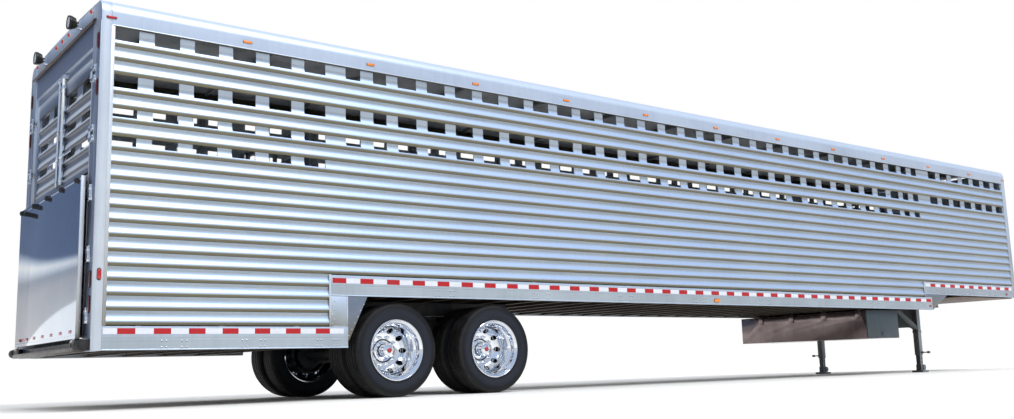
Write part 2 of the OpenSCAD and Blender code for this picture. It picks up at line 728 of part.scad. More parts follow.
module air_couplings() {
  at_frame() color("silver") for (y = [-240, 240]) {
    block([body_length + 0.5, y - 45, 1500], [body_length + 8, y + 45, 1590]);
    rod([body_length + 7, y, 1545], to_x, 40, 18);
    rod([body_length + 46, y, 1545], to_x, 20, 34);
  }
  at_frame() color("silver") {
    block([body_length + 0.5, -50, 1495], [body_length + 8, 50, 1595]);
    rod([body_length + 7, 0, 1545], to_x, 50, 38);
    block([body_length + 56, -34, 1505], [body_length + 62, 34, 1590]);
  }
}

// ---------------------------------------------------------------- toolbox under the belly

box_x0 = 11455;
box_x1 = 12310;
box_z0 = 560;
box_z1 = 985;
box_y = 1205;
sheet = 3;
module toolbox() {
  at_frame() color("rosybrown") difference() {
    union() {
      block([box_x0, -box_y, box_z0], [box_x1, box_y, box_z1]);
      for (i = [0 : 3]) block([box_x0 - 24, -1120 + i * 620, box_z1 - 120], [box_x0 + 1,
            -1040 + i * 620, box_z1 + 30]);
      for (i = [0 : 3]) block([box_x0 - 24, -1120 + i * 620, box_z1 - 1], [box_x1, -1040 + i * 620,
            box_z1 + 31]);
    }
    block([box_x0 + sheet, -box_y - 1, box_z0 + sheet], [box_x1 - sheet, box_y - sheet, box_z1 - sheet]);
  }
}

box_hinge_z = box_z1 + 5;
module toolbox_door() {
  at_frame() color("slategray") {
    block([box_x0 + 1, -box_y - 22, box_z0 + 2], [box_x1 - 1, -box_y - 2, box_z1 - 2]);
    block([box_x0 + 380, -box_y - 34, box_z0 + 40], [box_x0 + 470, -box_y - 21, box_z0 + 100]);
    rod([box_x0 + 40, -box_y - 12, box_hinge_z - 2], to_x, 770, 7);
  }
}

// ---------------------------------------------------------------- landing gear

leg_out = 46;                          // half width of the outer tube
leg_wall = 8;
leg_gap = 0.5;                         // clearance between the tubes
leg_in = leg_out - leg_wall - leg_gap;
housing_z = 285;                       // lower end of the outer tube
collar = 5;                            // thickness of the band round the outer tube
leg_top = nose_floor_z - 1;

module tube(x, y, half, wall, z0, z1) {
  difference() {
    block([x - half, y - half, z0], [x + half, y + half, z1]);
    block([x - half + wall, y - half + wall, z0 - 1], [x + half - wall, y + half - wall, z1 + 1]);
  }
}

module leg_housings() {
  at_frame() color("slategray") both_sides() {
    difference() {
      union() {
        tube(leg_x, -leg_y, leg_out, leg_wall, housing_z, leg_top);
        tube(leg_x, -leg_y, leg_out + collar, leg_wall + collar, 650, 690);
        block([leg_x - 80, -leg_y - 80, leg_top - 11], [leg_x + 80, -leg_y + 80, leg_top]);
        rod([leg_x, -leg_y - leg_out - 34, 325], to_y, 38, 17);
      }
      rod([leg_x, -leg_y - leg_out - 60, 325], to_y, 75, 9);
    }
    // retaining pin with its knob, drawn back to the face of the inner tube
    rod([leg_x, -leg_y - leg_out - 110, 325], to_y, 117, 8.9);
    rod([leg_x, -leg_y - leg_out - 150, 325], to_y, 41, 19);
  }
}

web_half = leg_y - leg_out - collar - 1;
web_z = 745;                           // lower edge of the web between the legs
web_fillet = 100;
module leg_braces() {
  at_frame() color("darkslategray") {
    both_sides() {
      along_y(-leg_y - 40, -leg_y + 20)
        polygon([[leg_x - leg_out - 1, 700], [leg_x - leg_out - 1, 770], [leg_x - 500, 1014],
              [leg_x - 590, 1014]]);
    }
    along_x(leg_x - 8, leg_x + 8) difference() {
      translate([-web_half, 680]) square([2 * web_half, leg_top - 692]);
      translate([web_fillet - web_half, 600]) square([2 * (web_half - web_fillet), web_z - 600]);
      for (s = [-1, 1]) translate([s * (web_half - web_fillet), web_z - web_fillet]) circle(r = web_fillet);
    }
  }
}

module inner_leg(y) {
  at_frame() color("gray") {
    difference() {
      tube(leg_x, y, leg_in, 6, 44, 900);
      for (i = [0 : 1]) rod([leg_x, y - leg_in - 1, 160 + i * 75], to_y, 2 * leg_in + 2, 10);
    }
    block([leg_x - leg_in - 8, y - leg_in - 8, 30], [leg_x + leg_in + 8, y + leg_in + 8, 128]);
    rod([leg_x + 40, y - 60, 82], to_y, 120, 44);
    along_y(y - 95, y + 95)
      polygon([[leg_x - 100, 14], [leg_x - 80, 0], [leg_x + 80, 0], [leg_x + 100, 14], [leg_x + 88, 34],
               [leg_x - 88, 34]]);
  }
}
module leg_curb() { inner_leg(-leg_y); }
module leg_street() { inner_leg(leg_y); }

// ---------------------------------------------------------------- rear ramp

ramp_top = ramp_z + ramp_length;
module ramp_frame() {
  at_frame() color("silver") {
    difference() {
      block([-78, -ramp_half, ramp_z], [-42, ramp_half, ramp_top]);
      for (i = [0 : 3], j = [0 : 2])
        block([-79, -ramp_half + 50 + i * 553, ramp_z + 50 + j * 455],
              [-41, -ramp_half + 50 + i * 553 + 503, ramp_z + 50 + j * 455 + 400]);
    }
    // hinge knuckles under the lower edge
    both_sides() difference() {
      union() {
        rod([ramp_hinge_x, -ramp_half + 40, ramp_hinge_z], to_y, 60, 17);
        block([ramp_hinge_x, -ramp_half + 40, ramp_hinge_z], [ramp_hinge_x + 17, -ramp_half + 100,
              ramp_z + 1]);
      }
      rod([ramp_hinge_x, -ramp_half + 30, ramp_hinge_z], to_y, 80, ramp_pin_r + running_gap);
    }
  }
}
module ramp_skin() {
  at_frame() color("lightsteelblue") block([-81, -ramp_half, ramp_z], [-78.2, ramp_half, ramp_top]);
}
cleat_pitch = 150;
module ramp_deck() {
  at_frame() color("black") {
    block([-41.8, -1085, ramp_z + 8], [-26, 1085, ramp_top - 4]);
    for (i = [0 : 8]) block([-27, -1060, ramp_z + 80 + i * cleat_pitch], [-12, 1060,
          ramp_z + 105 + i * cleat_pitch]);
  }
}
module ramp_feet() {
  at_frame() color("black") for (i = [-2 : 2]) rod([-110, i * 518, ramp_top - 34], to_x, 28.8, 25);
}

// ---------------------------------------------------------------- rear doors and gates

leaf_x0 = 20;
leaf_x1 = 58;
leaf_edge = 1046;
leaf_gap = 3;

vent_columns = [[-920, 300], [-430, 300]];
// Door leaf on the curb side: frame and slats, each slat a lower edge, a height and where its vents start
module leaf(z0, z1, slats) {
  difference() {
    block([leaf_x0, -leaf_edge, z0], [leaf_x1, -leaf_gap, z1]);
    for (s = slats) {
      // slats lie back from the frame, on both faces
      block([leaf_x0 - 1, -leaf_edge + 70, s[0] + 24], [leaf_x0 + 12, -leaf_gap - 60, s[0] + s[1] - 1]);
      block([leaf_x1 - 12, -leaf_edge + 70, s[0] + 24], [leaf_x1 + 1, -leaf_gap - 60, s[0] + s[1] - 1]);
      if (s[2] > 0)
        for (c = vent_columns)
          block([leaf_x0 - 1, c[0], s[0] + s[2]], [leaf_x1 + 1, c[0] + c[1], s[0] + s[1] - 1]);
    }
  }
}

door_z0 = 2092;
door_slats = [[2157, 130, 0], [2287, 130, 60], [2417, 130, 0], [2547, 130, 60], [2677, 130, 0], [2807,
      178, 70]];
rod_r_curb = 21;
rod_r_street = 13.5;
guide_z = [2140, 2640, 3060];

// Guides that carry the lock rod on a leaf
module rod_guides(r) {
  for (z = guide_z) difference() {
    block([rod_x - 12, -rod_y - r - 9, z], [leaf_x0 + 1, -rod_y + r + 9, z + 34]);
    rod([rod_x, -rod_y, z - 1], [0, 0, 0], 36, r + running_gap);
  }
}

module upper_door(rod_r) {
  difference() {
    leaf(door_z0, door_top, door_slats);
    // channel in which the rod and its collar turn clear of the leaf
    block([leaf_x0 - 1, -rod_y - rod_r - 8, door_z0 - 1], [rod_x + rod_r + 8, -rod_y + rod_r + 8,
          door_top + 1]);
  }
  rod_guides(rod_r);
  for (z = upper_hinges) difference() {
    union() {
      rod([hinge_x, -hinge_y, z - knuckle / 2], [0, 0, 0], knuckle, 14);
      block([hinge_x - 5, -hinge_y, z - knuckle / 2], [hinge_x + 5, -leaf_edge + 30, z + knuckle / 2]);
      block([hinge_x - 5, -leaf_edge + 4, z - knuckle / 2], [leaf_x0 + 1, -leaf_edge + 30, z + knuckle / 2]);
    }
    rod([hinge_x, -hinge_y, z - knuckle], [0, 0, 0], 2 * knuckle, hinge_pin_r + running_gap);
  }
}
module door_curb() { at_frame() color("lightsteelblue") upper_door(rod_r_curb); }
module door_street() { at_frame() color("lightsteelblue") mirror([0, 1, 0]) upper_door(rod_r_street); }

// Lock rod with a cam head under the header's keeper and a flat handle
module lock_rod(r) {
  rod([rod_x, -rod_y, 2112], [0, 0, 0], door_top + 40 - 2112, r);
  rod([rod_x, -rod_y, door_top + 39], [0, 0, 0], 24, 23);
  block([rod_x - 5, -rod_y - 330, 2380], [rod_x + 4, -rod_y, 2412]);
  rod([rod_x, -rod_y, 2372], [0, 0, 0], 48, r + 6);
}
module lock_rod_curb() { at_frame() color("silver") lock_rod(rod_r_curb); }
module lock_rod_street() { at_frame() color("silver") mirror([0, 1, 0]) lock_rod(rod_r_street); }

gate_z0 = 640;
gate_z1 = 2072;
gate_slats = [for (k = [0 : 9]) [gate_z0 + 60 + k * 131, 131, 0]];
module lower_gate() {
  leaf(gate_z0, gate_z1, gate_slats);
  for (z = gate_hinges) difference() {
    union() {
      rod([gate_hinge_x, -gate_hinge_y, z - knuckle / 2], [0, 0, 0], knuckle, 12);
      block([leaf_x1 - 1, -gate_hinge_y - 8, z - knuckle / 2], [gate_hinge_x, -gate_hinge_y + 8,
            z + knuckle / 2]);
    }
    rod([gate_hinge_x, -gate_hinge_y, z - knuckle], [0, 0, 0], 2 * knuckle, hinge_pin_r + running_gap);
  }
}
module gate_curb() { at_frame() color("silver") lower_gate(); }
module gate_street() { at_frame() color("silver") mirror([0, 1, 0]) lower_gate(); }

// ---------------------------------------------------------------- gates inside the body

gate_free = 1225;                      // free edge, at the curb wall
gate_turn_y = 1204;                    // hinge line at the street wall
rail_w = 44;
// Full-width barred gate that turns on a post at the street wall
module partition(x, z0, z1) {
  rails = 7;
  pitch = (z1 - z0 - rail_w) / (rails - 1);
  at_frame() color("silver") {
    for (y = [-gate_free, -430, 380, gate_turn_y - rail_w - 16])
      block([x - 18, y, z0], [x + 18, y + rail_w, z1]);
    for (k = [0 : rails - 1])
      block([x - 14, -gate_free + 2, z0 + k * pitch], [x + 14, gate_turn_y - 18, z0 + k * pitch + rail_w]);
    rod([x, gate_turn_y, z0 - 20], [0, 0, 0], z1 - z0 + 40, 18);
  }
}
partition_z0 = main_floor_z + floor_t + 30;
partition_z1 = 2920;
module partition_rear() { partition(2420, partition_z0, partition_z1); }
module partition_front() { partition(12960, partition_z0, partition_z1); }

deck_floors();
cross_members();
bottom_rails();
step_plates();
slats_pit();
slats_low();
slats_vented();
wall_stakes();
roof_bows();
roof_sheet();
top_rails();
rear_posts();
nose_corners();
nose_wall();
rear_header();
drip_gutter();
rear_sill();
dock_bumpers();
amber_lamps();
red_lamps();
reflective_tape();
lamp_stems();
bogie_frame();
axle_beams();
trailing_arms();
air_springs();
shock_absorbers();
brake_chambers();
air_tank();
coupler_plate();
kingpin();
air_couplings();
toolbox();
leg_housings();
leg_braces();
ramp_frame();
ramp_skin();
ramp_deck();
ramp_feet();
door_curb();
door_street();
lock_rod_curb();
lock_rod_street();
gate_curb();
gate_street();
tyres_rear_curb();
tyres_rear_street();
tyres_front_curb();
tyres_front_street();
wheels_rear_curb();
wheels_rear_street();
wheels_front_curb();
wheels_front_street();
leg_curb();
leg_street();
toolbox_door();
work_lamp_curb();
work_lamp_street();
partition_rear();
partition_front();
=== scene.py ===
from math import atan2, cos, pi, sin

import bmesh
import bpy
from mathutils import Matrix, Vector


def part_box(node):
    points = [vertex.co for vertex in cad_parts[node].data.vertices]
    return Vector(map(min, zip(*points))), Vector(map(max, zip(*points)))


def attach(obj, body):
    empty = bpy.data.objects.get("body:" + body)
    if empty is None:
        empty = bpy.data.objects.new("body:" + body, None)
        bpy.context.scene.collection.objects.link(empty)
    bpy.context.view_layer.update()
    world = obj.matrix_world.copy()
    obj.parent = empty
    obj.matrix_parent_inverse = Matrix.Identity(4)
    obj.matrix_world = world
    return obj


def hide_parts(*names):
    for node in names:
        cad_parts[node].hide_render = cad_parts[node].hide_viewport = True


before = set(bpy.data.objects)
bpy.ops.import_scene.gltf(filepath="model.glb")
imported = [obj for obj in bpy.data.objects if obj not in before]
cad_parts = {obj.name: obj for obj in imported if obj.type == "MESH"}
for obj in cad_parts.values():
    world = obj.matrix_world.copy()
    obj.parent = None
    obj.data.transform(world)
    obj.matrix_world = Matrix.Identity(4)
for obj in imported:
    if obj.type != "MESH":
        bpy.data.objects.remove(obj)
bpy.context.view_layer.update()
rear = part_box("roof_sheet")[0].x - 0.004   # x of the rear posts' face
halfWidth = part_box("slats_low")[1].y       # outer face of the slats' beads
print("frame loaded")


def at(x, y, z):   # a point measured from the rear face, the centre line and the ground
    return Vector((rear + x, y, z))


class Wire:   # a node's output that can be used in sums
    def __init__(self, paint, socket):
        self.paint = paint
        self.socket = socket

    def out(self, name):   # another output of the same node
        return Wire(self.paint, self.socket.node.outputs[name])

    def math(self, operation, other=0.0, swapped=False):
        pair = (other, self) if swapped else (self, other)
        return self.paint.node("ShaderNodeMath", {"operation": operation}, {0: pair[0], 1: pair[1]})

    def __add__(self, other):
        return self.math("ADD", other)

    def __radd__(self, other):
        return self.math("ADD", other)

    def __sub__(self, other):
        return self.math("SUBTRACT", other)

    def __rsub__(self, other):
        return self.math("SUBTRACT", other, True)

    def __mul__(self, other):
        return self.math("MULTIPLY", other)

    def __rmul__(self, other):
        return self.math("MULTIPLY", other)

    def __truediv__(self, other):
        return self.math("DIVIDE", other)

    def above(self, level):
        return self.math("GREATER_THAN", level)

    def whole(self):   # the part after the decimal point
        return self.math("FRACT")


class Paint:   # the nodes of one material, or of the world
    def __init__(self, name, world=None):
        self.material = world or bpy.data.materials.new(name)
        self.material.use_nodes = True
        self.tree = self.material.node_tree
        self.tree.nodes.clear()
        self.place = self.node("ShaderNodeTexCoord", output="Generated" if world else "Object")

    def along(self, axis, source=None):   # one axis of the place, or of another vector
        return self.node("ShaderNodeSeparateXYZ", {}, {0: source or self.place}, axis)

    def facing(self, axis):   # how far the surface faces along an axis
        return self.along(axis, self.node("ShaderNodeNewGeometry", output="Normal"))

    def node(self, kind, settings=None, sockets=None, output=0):
        made = self.tree.nodes.new(kind)
        for key, value in (settings or {}).items():
            if key == "stops":
                for number, (position, colour) in enumerate(value):
                    ends = made.color_ramp.elements
                    stop = ends[number] if number < 2 else ends.new(position)
                    stop.position = position
                    stop.color = colour
            else:
                setattr(made, key, value)
        for key, value in (sockets or {}).items():
            if isinstance(value, Wire):
                self.tree.links.new(value.socket, made.inputs[key])
            else:
                made.inputs[key].default_value = value
        return Wire(self, made.outputs[output])

    def noise(self, scale, stretch=(1, 1, 1), detail=3.0, rough=0.55, source=None):
        spread = self.node("ShaderNodeMapping", {"vector_type": "POINT"},
                           {"Vector": source or self.place, "Scale": stretch})
        return self.node("ShaderNodeTexNoise", {}, {"Vector": spread, "Scale": scale, "Detail": detail,
                                                    "Roughness": rough})

    def span(self, value, low, high, start=0.0, end=1.0):   # value between low and high, rescaled and clamped
        return self.node("ShaderNodeMapRange", {"clamp": True},
                         {"Value": value, "From Min": low, "From Max": high, "To Min": start, "To Max": end})

    def mix(self, factor, first, second):   # colours
        return self.node("ShaderNodeMix", {"data_type": "RGBA"}, {0: factor, 6: first, 7: second}, 2)

    def bump(self, height, strength, distance):
        return self.node("ShaderNodeBump", {}, {"Height": height, "Strength": strength, "Distance": distance})

    def finish(self, **sockets):
        shader = self.node("ShaderNodeBsdfPrincipled", {}, {key.replace("_", " "): value
                                                            for key, value in sockets.items()})
        return self.end("ShaderNodeOutputMaterial", shader)

    def end(self, kind, shader):
        output = self.tree.nodes.new(kind)
        self.tree.links.new(shader.socket, output.inputs["Surface"])
        return self.material


def tone(red, green, blue):   # a screen colour as linear light
    parts = [value / 255 for value in (red, green, blue)]
    return tuple(v / 12.92 if v <= 0.04045 else ((v + 0.055) / 1.055) ** 2.4 for v in parts) + (1.0,)


roadDust = tone(112, 104, 88)


# sheet or extruded metal: clouds of tone, drawn grain, run-down dirt and dust low on the body;
# the tones for faces that look up, down and to the rear are painted light: a painted sky reflection up, a
# painted ground reflection and shade down, painted shade to the rear
def metalFinish(name, light, dark, metallic=0.75, rough=(0.26, 0.42), grain=(0.4, 30, 30), wave=0.0,
                waveScale=3.0, dirt=0.25, dirtTone=roadDust, grainDepth=0.15, low=0.0, paintedLight=None,
                tread=0.0):
    paint = Paint(name)
    cloud = paint.noise(1.1, detail=5)
    drawn = paint.noise(5.0, stretch=grain, detail=4, rough=0.7)
    runs = paint.noise(3.0, stretch=(6, 6, 0.5), detail=6, rough=0.65)
    specks = paint.noise(90.0, detail=2)
    grime = paint.span(runs * 0.7 + cloud * 0.3, 0.45, 0.72) * dirt
    grime = grime + paint.span(specks, 0.62, 0.8) * dirt * 0.5
    if low:
        grime = grime + paint.span(paint.along(2) + cloud * 0.5, 0.4, low + 0.6, 0.6, 0.0)
    colour = paint.mix(paint.span(cloud * 0.6 + drawn * 0.4, 0.35, 0.65), light, dark)
    # painted light by facing: sky reflection on upward faces, ground reflection and shade on downward faces,
    # shade on rear faces
    for way, shade in (paintedLight or {}).items():
        slope = {"up": paint.facing(2), "down": 0 - paint.facing(2), "rear": 0 - paint.facing(0)}[way]
        colour = paint.mix(paint.span(slope + (cloud - 0.5) * 0.08, 0.0, 0.8 if way == "rear" else 0.24),
                           colour, shade)
    colour = paint.mix(paint.span(grime, 0.0, 1.0), colour, dirtTone)
    shape = drawn * 0.4 + specks * 0.1
    if tread:   # raised diamonds, in two slanting rows
        slant = [((paint.along(0) + paint.along(2) * way) * tread).math("SINE") for way in (1.6, -1.6)]
        shape = shape + (slant[0] * slant[1]).math("ABSOLUTE") * 2.4
    normal = paint.bump(shape, grainDepth, 0.002)
    if wave:
        dents = paint.noise(waveScale, detail=2, rough=0.4)
        normal = paint.node("ShaderNodeBump", {}, {"Height": dents, "Strength": wave, "Distance": 0.05,
                                                   "Normal": normal})
    return paint.finish(Base_Color=colour, Metallic=paint.span(grime, 0.0, 0.8, metallic, metallic * 0.4),
                        Roughness=paint.span(drawn * 0.6 + grime * 0.6, 0.1, 0.8, rough[0], rough[1]),
                        Normal=normal)


def rubberFinish(name, base, worn, rough=(0.62, 0.85)):
    paint = Paint(name)
    cloud = paint.noise(4.0, detail=6)
    grain = paint.noise(140.0, detail=2)
    scuff = paint.span(paint.noise(16.0, stretch=(1, 1, 0.4), detail=6, rough=0.7), 0.52, 0.7)
    colour = paint.mix(paint.span(cloud * 0.6 + scuff * 0.6, 0.3, 0.8), base, worn)
    return paint.finish(Base_Color=colour, Roughness=paint.span(cloud, 0.3, 0.7, rough[0], rough[1]),
                        Normal=paint.bump(grain * 0.6 + cloud * 0.4, 0.3, 0.002))


# moulded lamp lens with fine upright flutes under a smooth skin
def lensFinish(name, deep, bright, glow):
    paint = Paint(name)
    cells = paint.node("ShaderNodeTexVoronoi", {"feature": "F1"}, {"Vector": paint.place, "Scale": 160.0})
    haze = paint.noise(30.0, detail=4)
    colour = paint.mix(paint.span(cells, 0.0, 0.8), bright, deep)
    return paint.finish(Base_Color=colour, Roughness=paint.span(haze, 0.3, 0.7, 0.08, 0.22),
                        Normal=paint.bump(cells, 0.35, 0.002), Emission_Color=bright, Emission_Strength=glow,
                        Coat_Weight=0.8, Coat_Roughness=0.05)


def floorFinish():   # dark phenolic planks with grip lines across
    paint = Paint("deckPlanks")
    joint = paint.span((paint.along(1) * 6.5).whole(), 0.0, 0.04)
    grit = paint.noise(60.0, detail=4)
    colour = paint.mix(grit, tone(58, 50, 42), tone(96, 88, 78))
    return paint.finish(Base_Color=paint.mix(joint, tone(20, 18, 16), colour),
                        Roughness=paint.span(grit, 0.3, 0.7, 0.6, 0.9),
                        Normal=paint.bump(joint + grit * 0.3, 0.4, 0.004))


def roofFinish():   # sheets lapped every four feet
    paint = Paint("roofSheets")
    lap = (paint.along(0) / 1.2192).whole()
    seam = paint.span(lap, 0.0, 0.012) * paint.span(lap, 0.988, 1.0, 1.0, 0.0)
    cloud = paint.noise(0.9, stretch=(1, 2.5, 1), detail=6)
    stain = paint.span(paint.noise(5.0, detail=8, rough=0.7), 0.5, 0.7)
    colour = paint.mix(paint.span(cloud * 0.6 + stain * 0.4, 0.3, 0.75), tone(214, 218, 222),
                       tone(166, 168, 168))
    colour = paint.mix(seam, tone(120, 120, 118), colour)
    return paint.finish(Base_Color=colour, Metallic=0.55, Roughness=paint.span(cloud, 0.3, 0.7, 0.35, 0.55),
                        Normal=paint.bump(seam + cloud * 0.25, 0.35, 0.006))


def tapeFinish(name, start, period):   # red and white blocks along x over a cell pattern
    paint = Paint(name)
    red = ((paint.along(0) - (rear + start)) / period + 60).whole().above(0.51)
    cells = paint.node("ShaderNodeTexVoronoi", {"feature": "DISTANCE_TO_EDGE"},
                       {"Vector": paint.place, "Scale": 220.0})
    faded = paint.noise(3.0, detail=5)
    reds = paint.mix(faded, tone(186, 14, 24), tone(158, 20, 28))
    whites = paint.mix(faded, tone(226, 230, 238), tone(204, 210, 220))
    return paint.finish(Base_Color=paint.mix(red, whites, reds),
                        Roughness=paint.span(faded, 0.3, 0.7, 0.2, 0.4),
                        Normal=paint.bump(paint.span(cells, 0.0, 0.05), 0.2, 0.001))


# ring coordinates from the tyre: u counts lugs round the wheel, v is the distance from the wheel's centre
def tyreFinish():
    paint = Paint("tyreRubber")
    ring = paint.node("ShaderNodeUVMap", {"uv_map": "ringMap"})
    radius = paint.along(1, ring)
    lug = paint.along(0, ring)
    tread = paint.span(radius, 0.440, 0.456)
    slot = paint.span((lug.whole() - 0.5).math("ABSOLUTE"), 0.36, 0.42)
    dust = paint.noise(5.0, detail=6, rough=0.7)
    fine = paint.noise(120.0, detail=2)
    band = paint.span(radius, 0.30, 0.34) * paint.span(radius, 0.39, 0.43, 1.0, 0.0)
    base = paint.mix(dust, tone(11, 12, 15), tone(22, 24, 30))
    walls = paint.mix(paint.span(dust * 0.5 + band * 0.5, 0.3, 0.9), base, tone(34, 39, 50))
    treads = paint.mix(paint.span(dust, 0.4, 0.65), tone(16, 16, 18), tone(40, 39, 38))
    fineRings = (radius * 160).whole()
    height = fine * 0.15 + dust * 0.2 + slot * tread * -1.5
    height = height + paint.span(fineRings, 0.2, 0.3) * (1 - tread) * 0.25
    return paint.finish(Base_Color=paint.mix(tread, walls, treads),
                        Roughness=paint.span(dust, 0.3, 0.7, 0.5, 0.7),
                        Normal=paint.bump(height, 0.5, 0.004), Specular_IOR_Level=0.25)


# painted light tones: a sky reflection for faces that look up, a ground reflection with shade for faces that
# look down
skyLit, earthLit = tone(206, 222, 244), tone(104, 98, 80)
finishes = {
    # slats: the upward tone is a painted sky reflection on the bead tops, the olive downward tone a painted
    # ground reflection and shade under the beads
    "slats": metalFinish("slatAluminium", tone(188, 196, 202), tone(164, 174, 184), 0.55, (0.3, 0.46),
                         (0.25, 26, 40), dirt=0.12, dirtTone=tone(128, 126, 112),
                         paintedLight={"up": tone(190, 212, 244), "down": tone(112, 107, 88)}),
    # rails: upward faces carry a painted sky reflection, downward faces a painted ground reflection and shade
    "rail": metalFinish("railAluminium", tone(186, 197, 205), tone(160, 172, 182), 0.5, (0.28, 0.46),
                        (0.25, 30, 60), wave=0.04, waveScale=1.4, dirt=0.15,
                        paintedLight={"up": skyLit, "down": earthLit}),
    "treadRail": metalFinish("treadPlateRail", tone(178, 188, 198), tone(150, 160, 172), 0.5, (0.28, 0.46),
                             (3, 3, 3), dirt=0.2, grainDepth=0.6, paintedLight={"up": skyLit, "down": earthLit},
                             tread=110.0),
    # gusset plates: the darker base tones are painted shade on the set-back plates; downward faces carry a
    # painted ground reflection and shade
    "gusset": metalFinish("shadedGussetAluminium", tone(134, 146, 162), tone(104, 116, 134), 0.5, (0.3, 0.5),
                          dirt=0.2, paintedLight={"down": earthLit}),
    # top rails: upward faces carry a painted sky reflection, downward faces a painted ground reflection and
    # shade
    "topRail": metalFinish("topRailAluminium", tone(206, 217, 232), tone(184, 197, 216), 0.5, (0.26, 0.4),
                           (0.2, 40, 40), dirt=0.1, paintedLight={"up": tone(216, 230, 248), "down": earthLit}),
    # posts: rear faces carry painted shade, upward faces a painted sky reflection
    "post": metalFinish("postAluminium", tone(212, 220, 230), tone(186, 196, 208), 0.5, (0.3, 0.5),
                        (40, 40, 0.3), wave=0.03, dirt=0.15,
                        paintedLight={"rear": tone(98, 112, 138), "up": skyLit}),
    # trims: downward faces carry a painted ground reflection and shade
    "trim": metalFinish("trimAluminium", tone(226, 231, 236), tone(204, 210, 218), 0.5, (0.22, 0.4),
                        (30, 30, 0.4),
                        dirt=0.06, grainDepth=0.02, paintedLight={"down": earthLit}),
    # rear doors: the darker blue base tones are painted shade on the rear, the upward tone a painted
    # highlight, the downward tone painted shade
    "door": metalFinish("shadedDoorAluminium", tone(124, 138, 162), tone(96, 110, 134), 0.6, (0.28, 0.46),
                        (60, 0.4, 40), dirt=0.15,
                        paintedLight={"up": tone(236, 242, 250), "down": tone(64, 68, 76)}),
    "frame": metalFinish("frameAluminium", tone(172, 178, 184), tone(128, 134, 140), 0.6, (0.36, 0.6),
                         dirt=0.5),
    "galvanised": metalFinish("galvanisedSteel", tone(146, 154, 162), tone(102, 110, 118), 0.55, (0.35, 0.6),
                              (3, 3, 3), dirt=0.5, grainDepth=0.25),
    # grip steel: downward faces carry painted shade; the dirt tone is real dirt
    "treadSteel": metalFinish("gripSteel", tone(150, 146, 140), tone(92, 88, 84), 0.7, (0.3, 0.5), (4, 4, 4),
                              dirt=0.4, dirtTone=tone(60, 52, 46), grainDepth=0.3,
                              paintedLight={"down": tone(62, 56, 50)}),
    "bronze": metalFinish("gutterBronze", tone(126, 100, 76), tone(84, 66, 52), 0.5, (0.35, 0.55),
                          (8, 0.3, 20),
                          dirt=0.3, dirtTone=tone(60, 46, 38)),
    "bright": metalFinish("brightSteel", tone(236, 240, 244), tone(206, 212, 218), 0.96, (0.08, 0.22),
                          (12, 12, 1), dirt=0.06, grainDepth=0.03),
    "mirror": metalFinish("polishedWheel", tone(242, 244, 247), tone(226, 230, 236), 1.0, (0.05, 0.13),
                          (4, 4, 4), dirt=0.05, grainDepth=0.012),
    "stainless": metalFinish("stainlessSheet", tone(206, 214, 224), tone(192, 200, 210), 1.0, (0.05, 0.1),
                             (0.4, 0.4, 0.4), wave=0.008, waveScale=1.2, dirt=0.04, grainDepth=0.008),
    # toolbox: the dark mauve base tone is a painted reflection of the ground in the polished sheet; the dirt
    # tone is real dirt
    "boxSheet": metalFinish("boxStainlessGroundReflection", tone(150, 136, 134), tone(104, 92, 90), 0.9, (0.12, 0.24),
                            (0.5, 0.5, 0.5), wave=0.22, waveScale=2.2, dirt=0.10, dirtTone=tone(58, 48, 44)),
    "boxDoor": metalFinish("boxDoorPaint", tone(70, 82, 88), tone(52, 62, 70), 0.3, (0.4, 0.6), wave=0.06,
                           dirt=0.3, dirtTone=tone(86, 92, 88)),
    "chassis": metalFinish("chassisPaint", tone(44, 48, 54), tone(26, 29, 34), 0.2, (0.4, 0.65), (3, 3, 3),
                           dirt=0.55, dirtTone=tone(98, 90, 76), grainDepth=0.3),
    "belly": metalFinish("bellyBeams", tone(96, 88, 76), tone(62, 56, 48), 0.3, (0.45, 0.7), (0.4, 20, 20),
                         dirt=0.5, dirtTone=tone(52, 46, 40), grainDepth=0.3),
    "brace": metalFinish("bracePaint", tone(88, 98, 100), tone(60, 68, 72), 0.25, (0.45, 0.65), (6, 6, 6),
                         dirt=0.4),
    # legs: rear faces carry painted shade
    "legs": metalFinish("legPaint", tone(140, 148, 156), tone(104, 112, 120), 0.4, (0.35, 0.55),
                        (10, 10, 1), dirt=0.3,
                        paintedLight={"rear": tone(62, 60, 62)}),
    "coupler": metalFinish("couplerSteel", tone(118, 98, 80), tone(70, 58, 50), 0.4, (0.45, 0.75), (4, 4, 4),
                           dirt=0.6, dirtTone=tone(44, 36, 32), grainDepth=0.4),
    "pin": metalFinish("kingpinSteel", tone(120, 122, 124), tone(84, 84, 86), 0.9, (0.2, 0.4), (30, 30, 2),
                       dirt=0.3),
    "lampBody": metalFinish("lampHousing", tone(30, 31, 33), tone(18, 19, 21), 0.3, (0.35, 0.55), (6, 6, 6),
                            dirt=0.2, grainDepth=0.2),
    "rubber": rubberFinish("blackRubber", tone(16, 16, 17), tone(36, 36, 37)),
    "seal": rubberFinish("greyBoot", tone(188, 190, 188), tone(150, 150, 146), (0.5, 0.7)),
    "amber": lensFinish("amberLens", tone(214, 98, 8), tone(255, 158, 34), 0.12),
    "red": lensFinish("redLens", tone(116, 6, 8), tone(206, 24, 20), 0.10),
    "darkRed": lensFinish("ovalLens", tone(60, 4, 8), tone(112, 12, 16), 0.02),
    "glass": lensFinish("lampGlass", tone(150, 156, 162), tone(226, 230, 234), 0.05),
    "capRed": lensFinish("capRed", tone(140, 16, 14), tone(196, 34, 26), 0.0),
    "tapePit": tapeFinish("tapeRear", 0.0585, 0.3106),
    "tapeMain": tapeFinish("tapeMiddle", 7.9796, 0.3092),
    "tapeNose": tapeFinish("tapeFront", 13.0976, 0.3105),
    "floor": floorFinish(),
    "roof": roofFinish(),
    "tyre": tyreFinish(),
}
print("finishes made")


